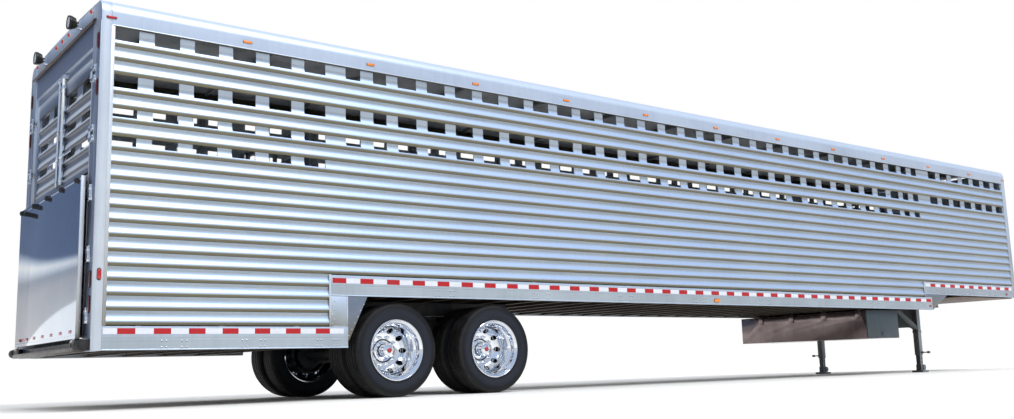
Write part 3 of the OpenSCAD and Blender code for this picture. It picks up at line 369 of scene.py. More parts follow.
# each shape function returns a small bmesh, and a piece collects them
def cleaned(part):
    bmesh.ops.remove_doubles(part, verts=part.verts[:], dist=1e-5)
    bmesh.ops.recalc_face_normals(part, faces=part.faces[:])
    return part


def rounded(part, width, segments=2, limit=0.5):   # bevels every edge sharper than the limit
    edges = [e for e in part.edges if e.is_manifold and e.calc_face_angle(0.0) > limit]
    bmesh.ops.bevel(part, geom=edges, offset=width, offset_type="OFFSET", segments=segments, profile=0.5,
                    affect="EDGES", material=-1, clamp_overlap=True)
    return part


def boxPart(low, high, edge=0.0, segments=2):
    part = bmesh.new()
    bmesh.ops.create_cube(part, size=1.0)
    size = Vector(high) - Vector(low)
    bmesh.ops.scale(part, vec=size, verts=part.verts[:])
    bmesh.ops.translate(part, vec=(Vector(low) + Vector(high)) / 2, verts=part.verts[:])
    return rounded(part, edge, segments) if edge else part


# a closed outline in two axes, run along the third
def runPart(outline, axis, start, end, edge=0.0):
    part = bmesh.new()
    spot = {"x": lambda a, b: (start, a, b), "y": lambda a, b: (a, start, b),
            "z": lambda a, b: (a, b, start)}[axis]
    face = part.faces.new([part.verts.new(spot(a, b)) for a, b in outline])
    grown = bmesh.ops.extrude_face_region(part, geom=[face])["geom"]
    way = Vector([float(axis == name) for name in "xyz"]) * (end - start)
    bmesh.ops.translate(part, vec=way, verts=[v for v in grown if isinstance(v, bmesh.types.BMVert)])
    cleaned(part)
    return rounded(part, edge) if edge else part


facing = {"x": Matrix.Rotation(pi / 2, 4, "Y"), "-x": Matrix.Rotation(-pi / 2, 4, "Y"),
          "y": Matrix.Rotation(-pi / 2, 4, "X"), "-y": Matrix.Rotation(pi / 2, 4, "X"),
          "z": Matrix.Identity(4)}


# (radius, distance along) pairs spun about an axis that starts at centre
def turnPart(outline, centre, axis="z", steps=32):
    part = bmesh.new()
    verts = [part.verts.new((radius, 0, along)) for radius, along in outline]
    edges = [part.edges.new(pair) for pair in zip(verts, verts[1:])]
    if outline[0] == outline[-1]:
        bmesh.ops.remove_doubles(part, verts=verts, dist=1e-6)
        verts, edges = part.verts[:], part.edges[:]
    bmesh.ops.spin(part, geom=verts + edges, cent=(0, 0, 0), axis=(0, 0, 1), angle=2 * pi, steps=steps,
                   use_merge=True)
    cleaned(part)
    bmesh.ops.transform(part, matrix=Matrix.Translation(centre) @ facing[axis], verts=part.verts[:])
    return part


def rodPart(centre, axis, length, radius, edge=0.002, steps=24):
    return turnPart([(0, 0), (radius - edge, 0), (radius, edge), (radius, length - edge),
                     (radius - edge, length),
                     (0, length)], centre, axis, steps)


def stadium(width, height, steps=8):   # outline with round ends, about its own centre
    radius = min(width, height) / 2
    flat = max(width, height) / 2 - radius
    points = []
    for end in (1, -1):
        for step in range(steps + 1):
            turn = pi * step / steps - pi / 2
            points.append((end * (flat + radius * cos(turn)), end * radius * sin(turn)))
    return points if width >= height else [(-b, a) for a, b in points]


# a copy of a CAD node with its triangles joined up and its edges eased
def softPart(node, edge=0.002, limit=0.6, segments=2):
    part = bmesh.new()
    part.from_mesh(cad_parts[node].data)
    bmesh.ops.remove_doubles(part, verts=part.verts[:], dist=2e-5)
    bmesh.ops.dissolve_limit(part, angle_limit=0.01, verts=part.verts[:], edges=part.edges[:])
    return rounded(part, edge, segments, limit) if edge else part


mirrorY = Matrix.Scale(-1, 4, (0, 1, 0))


def moved(*offsets):
    return [Matrix.Translation(offset) for offset in offsets]


class Piece:   # parts that ride together as one object
    def __init__(self, name, body, slotName, replaced=()):
        self.name, self.body, self.slotName, self.replaced = name, body, slotName, replaced
        self.shape = bmesh.new()
        self.used = []

    def add(self, part, finish, places=(Matrix.Identity(4),), sides=False, street=False):
        if finish not in self.used:
            self.used.append(finish)
        for face in part.faces:
            face.material_index = self.used.index(finish)
        mesh = bpy.data.meshes.new("part")
        part.to_mesh(mesh)
        part.free()
        places = list(places)
        if sides:
            places = places + [mirrorY @ place for place in places]
        elif street:
            places = [mirrorY @ place for place in places]
        for place in places:
            firstVert, firstFace = len(self.shape.verts), len(self.shape.faces)
            self.shape.from_mesh(mesh)
            self.shape.verts.ensure_lookup_table()
            bmesh.ops.transform(self.shape, matrix=place, verts=self.shape.verts[firstVert:])
            if place.determinant() < 0:
                self.shape.faces.ensure_lookup_table()
                bmesh.ops.reverse_faces(self.shape, faces=self.shape.faces[firstFace:])
        bpy.data.meshes.remove(mesh)

    def make(self, angle=0.6):
        mesh = bpy.data.meshes.new(self.name)
        self.shape.to_mesh(mesh)
        self.shape.free()
        mesh.polygons.foreach_set("use_smooth", [True] * len(mesh.polygons))
        mesh.set_sharp_from_angle(angle=angle)
        for finish in self.used:
            mesh.materials.append(finishes[finish])
        made = bpy.data.objects.new(self.name, mesh)
        bpy.context.scene.collection.objects.link(made)
        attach(made, self.body)
        if self.replaced:
            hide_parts(*self.replaced)


def softPiece(name, node, body, finish, slotName, edge, segments=2):   # a CAD node with eased edges
    piece = Piece(name, body, slotName, (node,))
    piece.add(softPart(node, edge, segments=segments), finish)
    piece.make()


# slatted walls
slatLook = {
    "inner": 1.2715, "web": 1.2795, "pitch": 0.127, "tall": 0.178, "ventLow": 0.045, "tallVentLow": 0.060,
    "firstZ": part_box("slats_low")[0].z - 0.0006, "start": 0.094, "pitEnd": 2.239, "stepEnd": 13.068,
    "end": 16.038,
    "bead": [(1.2785, 0.0006), (1.2822, 0.0030), (1.2865, 0.0075), (1.2900, 0.0130), (1.2928, 0.0190),
             (1.2946, 0.0250), (1.2955, 0.0310), (1.2948, 0.0380), (1.2930, 0.045), (1.2900, 0.053),
             (1.2872, 0.060), (1.2838, 0.070), (1.2812, 0.080), (1.2795, 0.092)],
    "flutes": (0.099, 0.107, 0.115), "fluteDepth": 0.0014,
}
vents = {"length": 0.234, "pitch": 0.3718, "rear": (0.101, 6), "main": (3.044, 26), "nose": (13.539, 7),
         "narrow": [(2.423, 0.172), (2.746, 0.160), (12.700, 0.160), (13.007, 0.156)]}


def slatFace(height):   # (out, up) points of a slat's outer side, from its underside to its top
    points = list(slatLook["bead"])
    web, depth = slatLook["web"], slatLook["fluteDepth"]
    for low in slatLook["flutes"]:
        points += [(web, low), (web - depth, low + 0.001), (web - depth, low + 0.003), (web, low + 0.004)]
    return points + [(web, height)]


def slatBand(height, low, high):   # the closed outline between two levels of a slat
    side = [p for p in slatFace(height) if low - 1e-6 <= p[1] <= high + 1e-6]
    inner = slatLook["inner"]
    return [(inner, side[0][1])] + side + [(inner, side[-1][1])]


def slatRun(height, low, high, start, end):
    outline = slatBand(height, low, high)
    return runPart([(-out, up) for out, up in outline], "x", rear + start, rear + end)


def ventsOf(groups):
    spots = []
    for group in groups:
        if group == "narrow":
            spots += vents["narrow"]
        else:
            first, count = vents[group]
            spots += [(first + number * vents["pitch"], vents["length"]) for number in range(count)]
    return sorted(spots)


walls = Piece("wallSlats", "chassis", "slat_aluminium", ("slats_pit", "slats_low", "slats_vented"))
pitch, tall, firstZ = slatLook["pitch"], slatLook["tall"], slatLook["firstZ"]


def addSlat(z, height, start, end, groups=(), ventLow=0.0):
    if not groups:
        walls.add(slatRun(height, 0, height, start, end), "slats", moved((0, 0, z)), sides=True)
        return
    walls.add(slatRun(height, 0, ventLow, start, end), "slats", moved((0, 0, z)), sides=True)
    edge = start
    for spot, length in ventsOf(groups) + [(end, 0)]:
        if spot > edge + 0.002:
            walls.add(slatRun(height, ventLow, height, edge, spot), "slats", moved((0, 0, z)), sides=True)
        edge = spot + length


for number in range(-4, 0):
    addSlat(firstZ + number * pitch, pitch, slatLook["start"], slatLook["pitEnd"])
for number in range(12):
    ending = slatLook["stepEnd"] if number < 2 else slatLook["end"]
    groups = {8: ("rear",), 10: ("rear", "narrow", "main")}.get(number, ())
    addSlat(firstZ + number * pitch, pitch, slatLook["start"], ending, groups, slatLook["ventLow"])
tallZ = firstZ + 12 * pitch
allVents = ("rear", "narrow", "main", "nose")
addSlat(tallZ, tall, slatLook["start"], slatLook["end"], allVents, slatLook["tallVentLow"])
addSlat(tallZ + tall, pitch, slatLook["start"], slatLook["end"])
addSlat(tallZ + tall + pitch, pitch, slatLook["start"], slatLook["end"])
addSlat(tallZ + tall + 2 * pitch, tall, slatLook["start"], slatLook["end"], allVents, slatLook["tallVentLow"])
walls.make()
print("walls made")

# side rails, trims and rivets
railLook = {"pit": (0.091, 2.432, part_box("bottom_rails")[0].z),
            "main": (2.241, 13.265, 1.010),
            "nose": (13.070, 16.039, 1.265)}
railSide = [(-1.2695, 0), (-1.2960, 0), (-1.2980, 0.002), (-1.2980, 0.009), (-1.2966, 0.0115),
            (-1.2955, 0.0125),
            (-1.2955, 0.098), (-1.2944, 0.0995), (-1.2944, 0.1025), (-1.2955, 0.104), (-1.2955, 0.202),
            (-1.2945, 0.2055), (-1.2715, 0.2055), (-1.2715, 0.006), (-1.2695, 0.006)]
rails = Piece("bottomRails", "chassis", "rail_aluminium", ("bottom_rails",))
for name, finish in (("pit", "rail"), ("main", "rail"), ("nose", "treadRail")):
    start, end, z = railLook[name]
    rails.add(runPart(railSide, "x", rear + start, rear + end), finish, moved((0, 0, z)), sides=True)
rails.make()

arc = [(-(halfWidth - 0.092 * (1 - cos(pi * k / 32))), 3.484 + 0.122 * sin(pi * k / 32)) for k in range(17)]
innerArc = [(-(halfWidth - 0.005 - 0.086 * (1 - cos(pi * k / 32))), 3.484 + 0.116 * sin(pi * k / 32))
            for k in range(16, -1, -1)]
topSide = [(-1.2715, 3.364), (-1.2965, 3.364), (-1.2978, 3.366), (-1.2978, 3.373), (-1.2965, 3.375),
           (-1.2955, 3.376),
           *arc, *innerArc, (-1.2905, 3.370), (-1.2715, 3.370)]
top = Piece("topRails", "chassis", "rail_aluminium", ("top_rails",))
top.add(runPart(topSide, "x", rear + 0.091, rear + 16.039), "topRail", sides=True)
top.make()

rivetLook = {"radius": 0.0095, "height": 0.0046, "railPitch": 1.3335, "firstPair": 3.594, "spread": 0.092,
             "count": 8, "mainZ": 1.066, "halfX": 0.021, "halfZ": 0.028}
railGroups = {0.555: (0.62, 0.80, 1.36, 1.54, 2.122, 2.298),   # height, then places along the rail
              1.322: (13.42, 13.60, 14.30, 14.48, 15.18, 15.36, 15.96)}


def rivetPart(radius, height, axis="-y"):
    return turnPart([(radius, 0), (radius * 0.86, height * 0.55), (radius * 0.45, height * 0.92),
                     (0, height)],
                    (0, 0, 0), axis, 10)


def rivetGroup(x, z):   # four rivets round a point
    return [at(x + across * rivetLook["halfX"], -halfWidth, z + up * rivetLook["halfZ"])
            for across in (-1, 1) for up in (-1, 1)]


rivetSpots = []
for number in range(rivetLook["count"]):
    middle = rivetLook["firstPair"] + number * rivetLook["railPitch"]
    for shift in (-rivetLook["spread"], rivetLook["spread"]):
        rivetSpots += rivetGroup(middle + shift, rivetLook["mainZ"])
for z, places in railGroups.items():
    for x in places:
        rivetSpots += rivetGroup(x, z)
rivets = Piece("railRivets", "chassis", "rail_aluminium")
rivets.add(rivetPart(rivetLook["radius"], rivetLook["height"]), "trim", moved(*rivetSpots), sides=True)
stepSpots = [at(2.262 + 0.02 * (k % 2), -1.2945, 0.735 + 0.045 * k) for k in range(6)]
stepSpots += [at(2.44 + 0.034 * k, -1.2945, 0.62 + 0.062 * k) for k in range(6)]
stepSpots += [at(13.30 + 0.062 * k, -1.2945, 1.05 + 0.033 * k) for k in range(6)]
rivets.add(rivetPart(0.007, 0.0035), "trim", moved(*stepSpots), sides=True)
rivets.make()

trimBoxes = [   # low corner, high corner, eased edge
    ((0.088, -1.2975, 0.709), (0.120, -1.2955, 3.362), 0.0006),
    ((2.226, -1.2975, 0.709), (2.246, -1.2955, 1.222), 0.0006),
    ((2.419, -1.2972, 0.711), (2.431, -1.2950, 1.008), 0.0006),
    ((2.262, -1.2970, 0.7085), (2.432, -1.2955, 0.7165), 0.0006),
    ((13.056, -1.2975, 1.217), (13.076, -1.2955, 1.476), 0.0006),
    ((-0.004, -1.064, 0.62), (0.0, -1.052, 3.10), 0.001),
    ((-0.003, -1.2955, 0.60), (0.0, -1.285, 3.40), 0.001),
]
trims = Piece("cornerTrims", "chassis", "rail_aluminium")
for low, high, edge in trimBoxes:
    trims.add(boxPart(at(*low), at(*high), edge), "trim", sides=True)
trims.make()

tape = Piece("sideTape", "chassis", "retro_tape", ("reflective_tape",))
for start, end, z, finish in ((0.100, 2.385, 0.642, "tapePit"), (2.263, 13.245, 1.138, "tapeMain"),
                              (13.100, 15.994, 1.391, "tapeNose")):
    tape.add(boxPart(at(start, -1.2963, z), at(end, -1.2955, z + 0.050)), finish, sides=True)
tape.make()
print("rails made")

# corner posts, header and gutter
softPiece("rearPosts", "rear_posts", "chassis", "post", "rail_aluminium", 0.0035)
softPiece("rearHeader", "rear_header", "chassis", "post", "rail_aluminium", 0.002)
softPiece("noseCorners", "nose_corners", "chassis", "topRail", "rail_aluminium", 0.006, 3)
noseWall = Piece("noseWall", "chassis", "slat_aluminium", ("nose_wall",))
noseWall.add(softPart("nose_wall", 0.002), "slats")
wallRivets = [at(16.154, y * 0.33 + side * 0.012, 1.32 + 0.076 * k) for y in range(-3, 4) for side in (-1, 1)
              for k in range(29)]
noseWall.add(rivetPart(0.005, 0.002, "x"), "trim", moved(*wallRivets))
noseWall.make()

gutterLook = {"half": 1.130, "side": [(-0.0005, 3.462), (-0.012, 3.460), (-0.024, 3.453), (-0.031, 3.442),
                                     (-0.034, 3.430), (-0.034, 3.416), (-0.030, 3.414), (-0.029, 3.428),
                                     (-0.025, 3.441), (-0.018, 3.449), (-0.008, 3.454), (-0.0005, 3.455)]}
gutter = Piece("dripGutter", "chassis", "gutter_bronze", ("drip_gutter",))
gutter.add(runPart([(rear + x, z) for x, z in gutterLook["side"]], "y", -gutterLook["half"],
                   gutterLook["half"]),
           "bronze")
gutter.make()
print("rear frame made")

# clearance lamps
lampLook = {"markerZ": 3.436, "firstX": 1.355, "pitch": 1.3538, "count": 11, "noseX": 16.098,
            "width": 0.052, "tall": 0.152, "rim": 0.012, "y": -1.228}


def addMarker(piece, x, z, length, height, finish):
    base = runPart([(rear + x + a * 1.08, z + b * 1.22) for a, b in stadium(length, height, 6)], "y",
                   -halfWidth - 0.003, -halfWidth, 0.0008)
    lens = runPart([(rear + x + a, z + b) for a, b in stadium(length, height, 6)], "y", -halfWidth - 0.0108,
                   -halfWidth - 0.002, 0.004)
    piece.add(base, "lampBody", sides=True)
    piece.add(lens, finish, sides=True)


ambers = Piece("amberMarkers", "chassis", "amber_lens", ("amber_lamps",))
for number in range(lampLook["count"]):
    addMarker(ambers, lampLook["firstX"] + number * lampLook["pitch"], lampLook["markerZ"], 0.092, 0.022,
              "amber")
addMarker(ambers, lampLook["noseX"], lampLook["markerZ"], 0.092, 0.022, "amber")
addMarker(ambers, 7.931, 1.066, 0.112, 0.040, "amber")
ambers.make()

reds = Piece("redLamps", "chassis", "red_lens", ("red_lamps",))
addMarker(reds, 0.085, lampLook["markerZ"], 0.088, 0.022, "red")
addMarker(reds, 0.052, 1.149, 0.036, 0.090, "red")
addMarker(reds, 13.197, 1.071, 0.056, 0.026, "red")
addMarker(reds, 15.797, 1.318, 0.056, 0.026, "red")
for z in (3.230, 2.803, 1.109, 0.897):
    width, height, rim = lampLook["width"], lampLook["tall"], lampLook["rim"]
    grommet = runPart([(lampLook["y"] + a, z + b) for a, b in stadium(width, height, 8)], "x", rear - 0.006,
                      rear - 0.0004,
                      0.002)
    lens = runPart([(lampLook["y"] + a, z + b) for a, b in stadium(width - rim, height - rim, 8)], "x",
                   rear - 0.0138,
                   rear - 0.005, 0.004)
    reds.add(grommet, "rubber", sides=True)
    reds.add(lens, "darkRed", sides=True)
boot = [(0.0, -0.0004), (0.027, -0.0004), (0.027, 0.003), (0.0235, 0.006), (0.0225, 0.009), (0.0, 0.009)]
dome = [(0.0205, 0.007), (0.0205, 0.014), (0.019, 0.019), (0.0155, 0.0225), (0.010, 0.0248), (0.005, 0.0257),
        (0.0, 0.026)]
domeSpots = moved(*[at(0, y, 3.560) for y in (-1.0, -0.235, 0.0, 0.235, 1.0)])
reds.add(turnPart(boot, (0, 0, 0), "-x"), "seal", domeSpots)
reds.add(turnPart(dome, (0, 0, 0), "-x"), "red", domeSpots)
reds.make()

# work lamps: cast housing with cooling rings, a recessed glass and a yoke
workLook = {"x": -0.088, "y": 0.640, "z": 3.548, "pinX": 0.046, "pinZ": -0.020}
softPiece("lampStems", "lamp_stems", "chassis", "bright", "bright_steel", 0.001)
for name, sign in (("curb", -1), ("street", 1)):
    centre = at(workLook["x"], sign * workLook["y"], workLook["z"])
    lamp = Piece("workLamp" + name.capitalize(), "work_lamp_" + name, "lamp_housing", ("work_lamp_" + name,))
    shell = [(0.0, 0.036), (0.030, 0.036), (0.044, 0.032), (0.044, 0.028), (0.052, 0.027), (0.052, 0.021),
             (0.048, 0.020), (0.048, 0.014), (0.058, 0.013), (0.058, 0.007), (0.053, 0.006), (0.053, 0.000),
             (0.063, -0.001), (0.0655, -0.008), (0.066, -0.014), (0.066, -0.031), (0.0645, -0.036),
             (0.058, -0.036), (0.0565, -0.029), (0.0, -0.029)]
    lamp.add(turnPart([(r, -x) for r, x in shell], centre, "-x", 40), "lampBody")
    lamp.add(turnPart([(0.056, 0.029), (0.050, 0.0320), (0.030, 0.0345), (0.0, 0.0352)], centre, "-x", 32),
             "glass")
    for side in (-1, 1):
        lamp.add(boxPart(centre + Vector((0.034, side * 0.028 - 0.006, -0.034)),
                         centre + Vector((0.054, side * 0.028 + 0.006, 0.008)), 0.002), "lampBody")
        lamp.add(rodPart(centre + Vector((workLook["pinX"], side * 0.034 - (0.008 if side < 0 else 0),
                                          workLook["pinZ"])), "y", 0.008, 0.008, 0.0015, 12), "bright")
    lamp.make()
print("lamps made")

# rear step, bumpers and ramp
softPiece("gripStep", "rear_sill", "chassis", "treadSteel", "bright_steel", 0.0015)

bumperLook = {"length": 0.150, "side": [(-0.0004, 0.508), (-0.060, 0.508), (-0.092, 0.520), (-0.104, 0.540),
                                        (-0.104, 0.566), (-0.092, 0.586), (-0.060, 0.598), (-0.0004, 0.598)]}
bumpers = Piece("dockBumpers", "chassis", "black_rubber", ("dock_bumpers",))
bumpers.add(runPart([(rear + x, z) for x, z in bumperLook["side"]], "y", -1.2945,
                    -1.2945 + bumperLook["length"],
                    0.006), "rubber", sides=True)
bumpers.make()

rampLook = {"half": 1.130, "low": 0.612, "high": 2.022, "seam": 1.988, "face": -0.081}
skin = Piece("rampSkin", "ramp", "stainless_sheet", ("ramp_skin",))
face = rampLook["face"]
skin.add(boxPart(at(face, -rampLook["half"], rampLook["low"]), at(face + 0.0028, rampLook["half"],
                                                                  rampLook["seam"] - 0.001), 0.0006),
         "stainless")
skin.add(boxPart(at(face, -rampLook["half"], rampLook["seam"] + 0.001), at(face + 0.0028, rampLook["half"],
                                                                           rampLook["high"]), 0.0006),
         "stainless")
skin.add(turnPart([(0.006, 0), (0.005, 0.0010), (0.0, 0.0014)], (0, 0, 0), "-x", 8), "stainless",
         moved(*[at(face, -1.10 + k * 0.1, 0.640) for k in range(23)]))
skin.make()
blocks = Piece("rampReflectors", "ramp", "red_lens")
for number in range(7):
    y = -0.97 + number * 0.323
    blocks.add(boxPart(at(face - 0.0016, y - 0.045, 0.660), at(face, y + 0.045, 0.690), 0.0006), "capRed")
blocks.make()
feet = Piece("rampFeet", "ramp", "black_rubber", ("ramp_feet",))
footSide = [(0.0, 0.0), (0.025, 0.0), (0.025, 0.018), (0.023, 0.024), (0.018, 0.0286), (0.009, 0.0286),
            (0.008, 0.022), (0.0, 0.022)]
feet.add(turnPart(footSide, (0, 0, 0), "-x"), "rubber", moved(*[at(face - 0.0002, k * 0.518, 1.988)
                                                                for k in range(-2, 3)]))
feet.make()
softPiece("rampFrame", "ramp_frame", "ramp", "trim", "galvanised_steel", 0.002)
print("ramp made")

# upper doors
leafLook = {"x0": 0.020, "x1": 0.058, "slatX": 0.046, "edge": 1.046, "gap": 0.003, "z0": 2.092, "z1": 3.130,
            "stile": 0.070,
            "slats": [(2.157, 0.130), (2.287, 0.130), (2.417, 0.130), (2.547, 0.130), (2.677, 0.130),
                      (2.807, 0.178)],
            "vents": {1: 0.060, 3: 0.060, 5: 0.070}, "columns": [(-0.920, -0.620), (-0.430, -0.130)]}


rodRadius = {"curb": 0.021, "street": 0.0135}
rodY = -0.077


def leafSlat(height, low, high, start, end):   # the wall slat's face turned to the rear
    outline = slatBand(height, low, high)
    back = rear + leafLook["slatX"]
    return runPart([(back - (out - slatLook["inner"]), up) for out, up in outline], "y", start, end)


def doorPiece(name, street):
    body = "door_" + name
    leaf = Piece("upperDoor" + name.capitalize(), body, "slat_aluminium", (body,))
    look = leafLook
    left, right = -look["edge"], -look["gap"]
    inLeft, inRight = left + look["stile"], right - 0.060

    def block(low, high, edge=0.002, finish="door"):
        leaf.add(boxPart(at(*low), at(*high), edge), finish, street=street)

    block((look["x0"], left, look["z0"]), (look["x1"], inLeft, look["z1"]), 0.003)
    block((look["x0"], inRight, look["z0"]), (look["x1"], right, look["z1"]), 0.003)
    block((look["x0"] + 0.001, inLeft - 0.001, look["z0"]), (look["x1"] - 0.001, inRight + 0.001, 2.156))
    block((look["x0"] + 0.001, inLeft - 0.001, 2.986), (look["x1"] - 0.001, inRight + 0.001, look["z1"]))
    for number, (z, height) in enumerate(look["slats"]):
        low = look["vents"].get(number)
        if low is None:
            leaf.add(leafSlat(height, 0, height, inLeft, inRight), "door", moved((0, 0, z)), street=street)
            continue
        leaf.add(leafSlat(height, 0, 0.060, inLeft, inRight), "door", moved((0, 0, z)), street=street)
        edges = [inLeft] + [y for column in look["columns"] for y in column] + [inRight]
        for start, end in zip(edges[::2], edges[1::2]):
            leaf.add(leafSlat(height, 0.060, height, start, end), "door", moved((0, 0, z)), street=street)
    rodR = rodRadius["street" if street else "curb"]
    for z in (2.140, 2.640, 3.060):   # rod guides
        block((-0.009, rodY - rodR - 0.009, z), (0.021, rodY - rodR - 0.002, z + 0.034), 0.001, "bright")
        block((-0.009, rodY + rodR + 0.002, z), (0.021, rodY + rodR + 0.009, z + 0.034), 0.001, "bright")
        leaf.add(turnPart([(rodR + 0.0006, 0), (rodR + 0.005, 0), (rodR + 0.005, 0.034),
                           (rodR + 0.0006, 0.034),
                           (rodR + 0.0006, 0)], at(0.003, rodY, z), "z"), "bright", street=street)
    for z in (2.399, 2.944):   # hinge arms
        leaf.add(turnPart([(0.0083, -0.0228), (0.013, -0.0228), (0.014, -0.0218), (0.014, 0.0218),
                           (0.013, 0.0228), (0.0083, 0.0228), (0.0083, -0.0228)], at(-0.014, -1.100, z), "z"),
                 "bright", street=street)
        block((-0.019, -1.088, z - 0.022), (-0.009, -1.016, z + 0.022), 0.0015, "bright")
        block((-0.019, -1.042, z - 0.022), (0.0205, -1.016, z + 0.022), 0.0015, "bright")
    leaf.make()


doorPiece("curb", False)
doorPiece("street", True)


def rodPiece(name, radius, street):
    body = "lock_rod_" + name
    rod = Piece("lockRod" + name.capitalize(), body, "bright_steel", (body,))
    foot = at(0.003, rodY, 2.112)
    outline = [(0, 0), (radius - 0.002, 0), (radius, 0.002), (radius, 0.259), (radius + 0.005, 0.262),
               (radius + 0.006, 0.266), (radius + 0.006, 0.302), (radius + 0.005, 0.306), (radius, 0.308),
               (radius, 1.052), (0.023, 1.056), (0.023, 1.076), (0.020, 1.081), (0.0, 1.081)]
    rod.add(turnPart(outline, foot, "z", 40), "bright", street=street)
    handle = boxPart(at(-0.002, -0.407, 2.381), at(0.007, rodY, 2.411), 0.0035, 3)
    rod.add(handle, "bright", street=street)
    rod.make()


rodPiece("curb", rodRadius["curb"], False)
rodPiece("street", rodRadius["street"], True)

# bright C-shaped hinge straps round the pins on the posts
strapLevels = (0.805, 1.331, 1.866, 2.399, 2.944)
straps = Piece("hingeStraps", "chassis", "bright_steel")
for z in strapLevels:
    for side in (-1, 1):
        low = z + side * 0.047 - 0.0205
        straps.add(boxPart(at(-0.0235, -1.196, low), at(-0.0005, -1.128, low + 0.041), 0.003), "bright",
                   sides=True)
    straps.add(boxPart(at(-0.010, -1.206, z - 0.072), at(-0.0005, -1.194, z + 0.072), 0.002), "bright",
               sides=True)
    if z < 2.0:
        straps.add(rodPart(at(-0.0125, -1.134, z - 0.070), "z", 0.140, 0.0105), "bright", sides=True)
straps.make()
print("doors made")

# tyres and wheels, built about z with z pointing away from the trailer
tyreLook = {"radius": 0.476, "half": 0.134, "seat": 0.28575, "offset": 0.1765, "lugs": 62}
seat, half, outerR = tyreLook["seat"], tyreLook["half"], tyreLook["radius"]
halfSide = [(seat + 0.0004, 0.080), (seat + 0.0004, 0.102), (seat + 0.010, 0.108), (seat + 0.024, 0.112),
            (seat + 0.028, 0.1155), (seat + 0.040, 0.1185), (seat + 0.044, 0.117), (seat + 0.060, 0.124),
            (seat + 0.080, half - 0.003), (seat + 0.100, half), (seat + 0.118, half - 0.001),
            (seat + 0.132, half - 0.003),
            (seat + 0.134, half - 0.0055), (seat + 0.146, half - 0.007), (outerR - 0.030, half - 0.011),
            (outerR - 0.016, half - 0.017), (outerR - 0.007, half - 0.026), (outerR - 0.003, half - 0.036)]
grooved = []
for middle in (0.078, 0.028):
    grooved += [(outerR - 0.0015, middle + 0.007), (outerR - 0.014, middle + 0.005),
                (outerR - 0.014, middle - 0.005),
                (outerR - 0.0008, middle - 0.007)]
crown = halfSide[1:] + grooved + [(outerR, 0.0)]
liner = [(seat + 0.0004, 0.080), (seat + 0.040, 0.096), (seat + 0.096, half - 0.016),
         (outerR - 0.040, half - 0.026),
         (outerR - 0.026, half - 0.050), (outerR - 0.024, 0.0)]
outlineTyre = crown + [(r, -z) for r, z in crown[-2::-1]] + [(r, -z) for r, z in liner] \
    + [(r, z) for r, z in liner[-2::-1]] + [crown[0]]


def ringMapped(part):   # u counts lugs round the wheel, v is the distance from its centre
    layer = part.loops.layers.uv.new("ringMap")
    for tread in part.faces:
        middle = tread.calc_center_median()
        centreTurn = atan2(middle.y, middle.x)
        for loop in tread.loops:
            spot = loop.vert.co
            turn = atan2(spot.y, spot.x)
            turn += 2 * pi if turn < centreTurn - pi else (-2 * pi if turn > centreTurn + pi else 0)
            loop[layer].uv = (turn / (2 * pi) * tyreLook["lugs"], (spot.x ** 2 + spot.y ** 2) ** 0.5)
    return part


wheelOutline = [
    (0.1105, 0.0010), (0.170, 0.0010), (0.186, 0.0045), (0.200, 0.0150), (0.226, 0.0420), (0.244, 0.0640),
    (0.2495, 0.0800), (0.2505, 0.0960), (0.2505, 0.190), (0.256, 0.199), (0.2665, 0.210), (0.2735, 0.222),
    (0.2765, 0.236), (0.2785, 0.268), (0.286, 0.275), (0.2935, 0.281), (0.2970, 0.287), (0.3010, 0.290),
    (0.3070, 0.290), (0.3108, 0.287), (0.3108, 0.280), (0.300, 0.276), (0.2857, 0.270), (0.2817, 0.238),
    (0.262, 0.196), (0.262, 0.092), (0.2817, 0.062), (0.2857, 0.058), (0.3108, 0.050), (0.3108, 0.042),
    (0.3050, 0.0405), (0.296, 0.041), (0.266, 0.046), (0.256, 0.050), (0.212, 0.0120), (0.176, -0.0110),
    (0.1105, -0.0110), (0.1105, 0.0010)]


def drilled(part, circle, radius, count, top):   # through holes round a disc
    base = bpy.data.meshes.new("disc")
    cutMesh = bpy.data.meshes.new("drill")
    part.to_mesh(base)
    part.free()
    drill = bmesh.new()
    for number in range(count):
        turn = 2 * pi * number / count
        bmesh.ops.create_cone(drill, cap_ends=True, segments=20, radius1=radius, radius2=radius, depth=0.16,
                              matrix=Matrix.Translation((circle * cos(turn), circle * sin(turn), top)))
    drill.to_mesh(cutMesh)
    drill.free()
    disc, cutter = bpy.data.objects.new("disc", base), bpy.data.objects.new("drill", cutMesh)
    for thing in (disc, cutter):
        bpy.context.scene.collection.objects.link(thing)
    cut = disc.modifiers.new("cut", "BOOLEAN")
    cut.operation, cut.solver, cut.object = "DIFFERENCE", "EXACT", cutter
    done = bpy.data.meshes.new_from_object(disc.evaluated_get(bpy.context.evaluated_depsgraph_get()))
    result = bmesh.new()
    result.from_mesh(done)
    for thing in (disc, cutter):
        bpy.data.objects.remove(thing)
    for mesh in (base, cutMesh, done):
        bpy.data.meshes.remove(mesh)
    return result


hubOutline = [(0.1100, -0.0142), (0.1100, 0.0120), (0.1070, 0.0150), (0.090, 0.0190), (0.086, 0.0230),
              (0.080, 0.060),
              (0.078, 0.100), (0.0755, 0.130), (0.072, 0.1385), (0.068, 0.1415), (0.062, 0.1415),
              (0.060, 0.1380),
              (0.060, 0.126), (0.0, 0.126)]
drumOutline = [(0.0455, -0.118), (0.084, -0.118), (0.084, -0.050), (0.140, -0.050), (0.140, -0.180),
               (0.196, -0.184),
               (0.196, -0.300), (0.208, -0.300), (0.208, -0.050), (0.170, -0.0142), (0.110, -0.0142)]
capOutline = [(0.059, 0.1262), (0.056, 0.1300), (0.040, 0.1340), (0.028, 0.1370), (0.0265, 0.1372)]
domeOutline = [(0.0265, 0.1368), (0.0262, 0.1420), (0.0200, 0.1465), (0.0100, 0.1490), (0.0, 0.1495)]
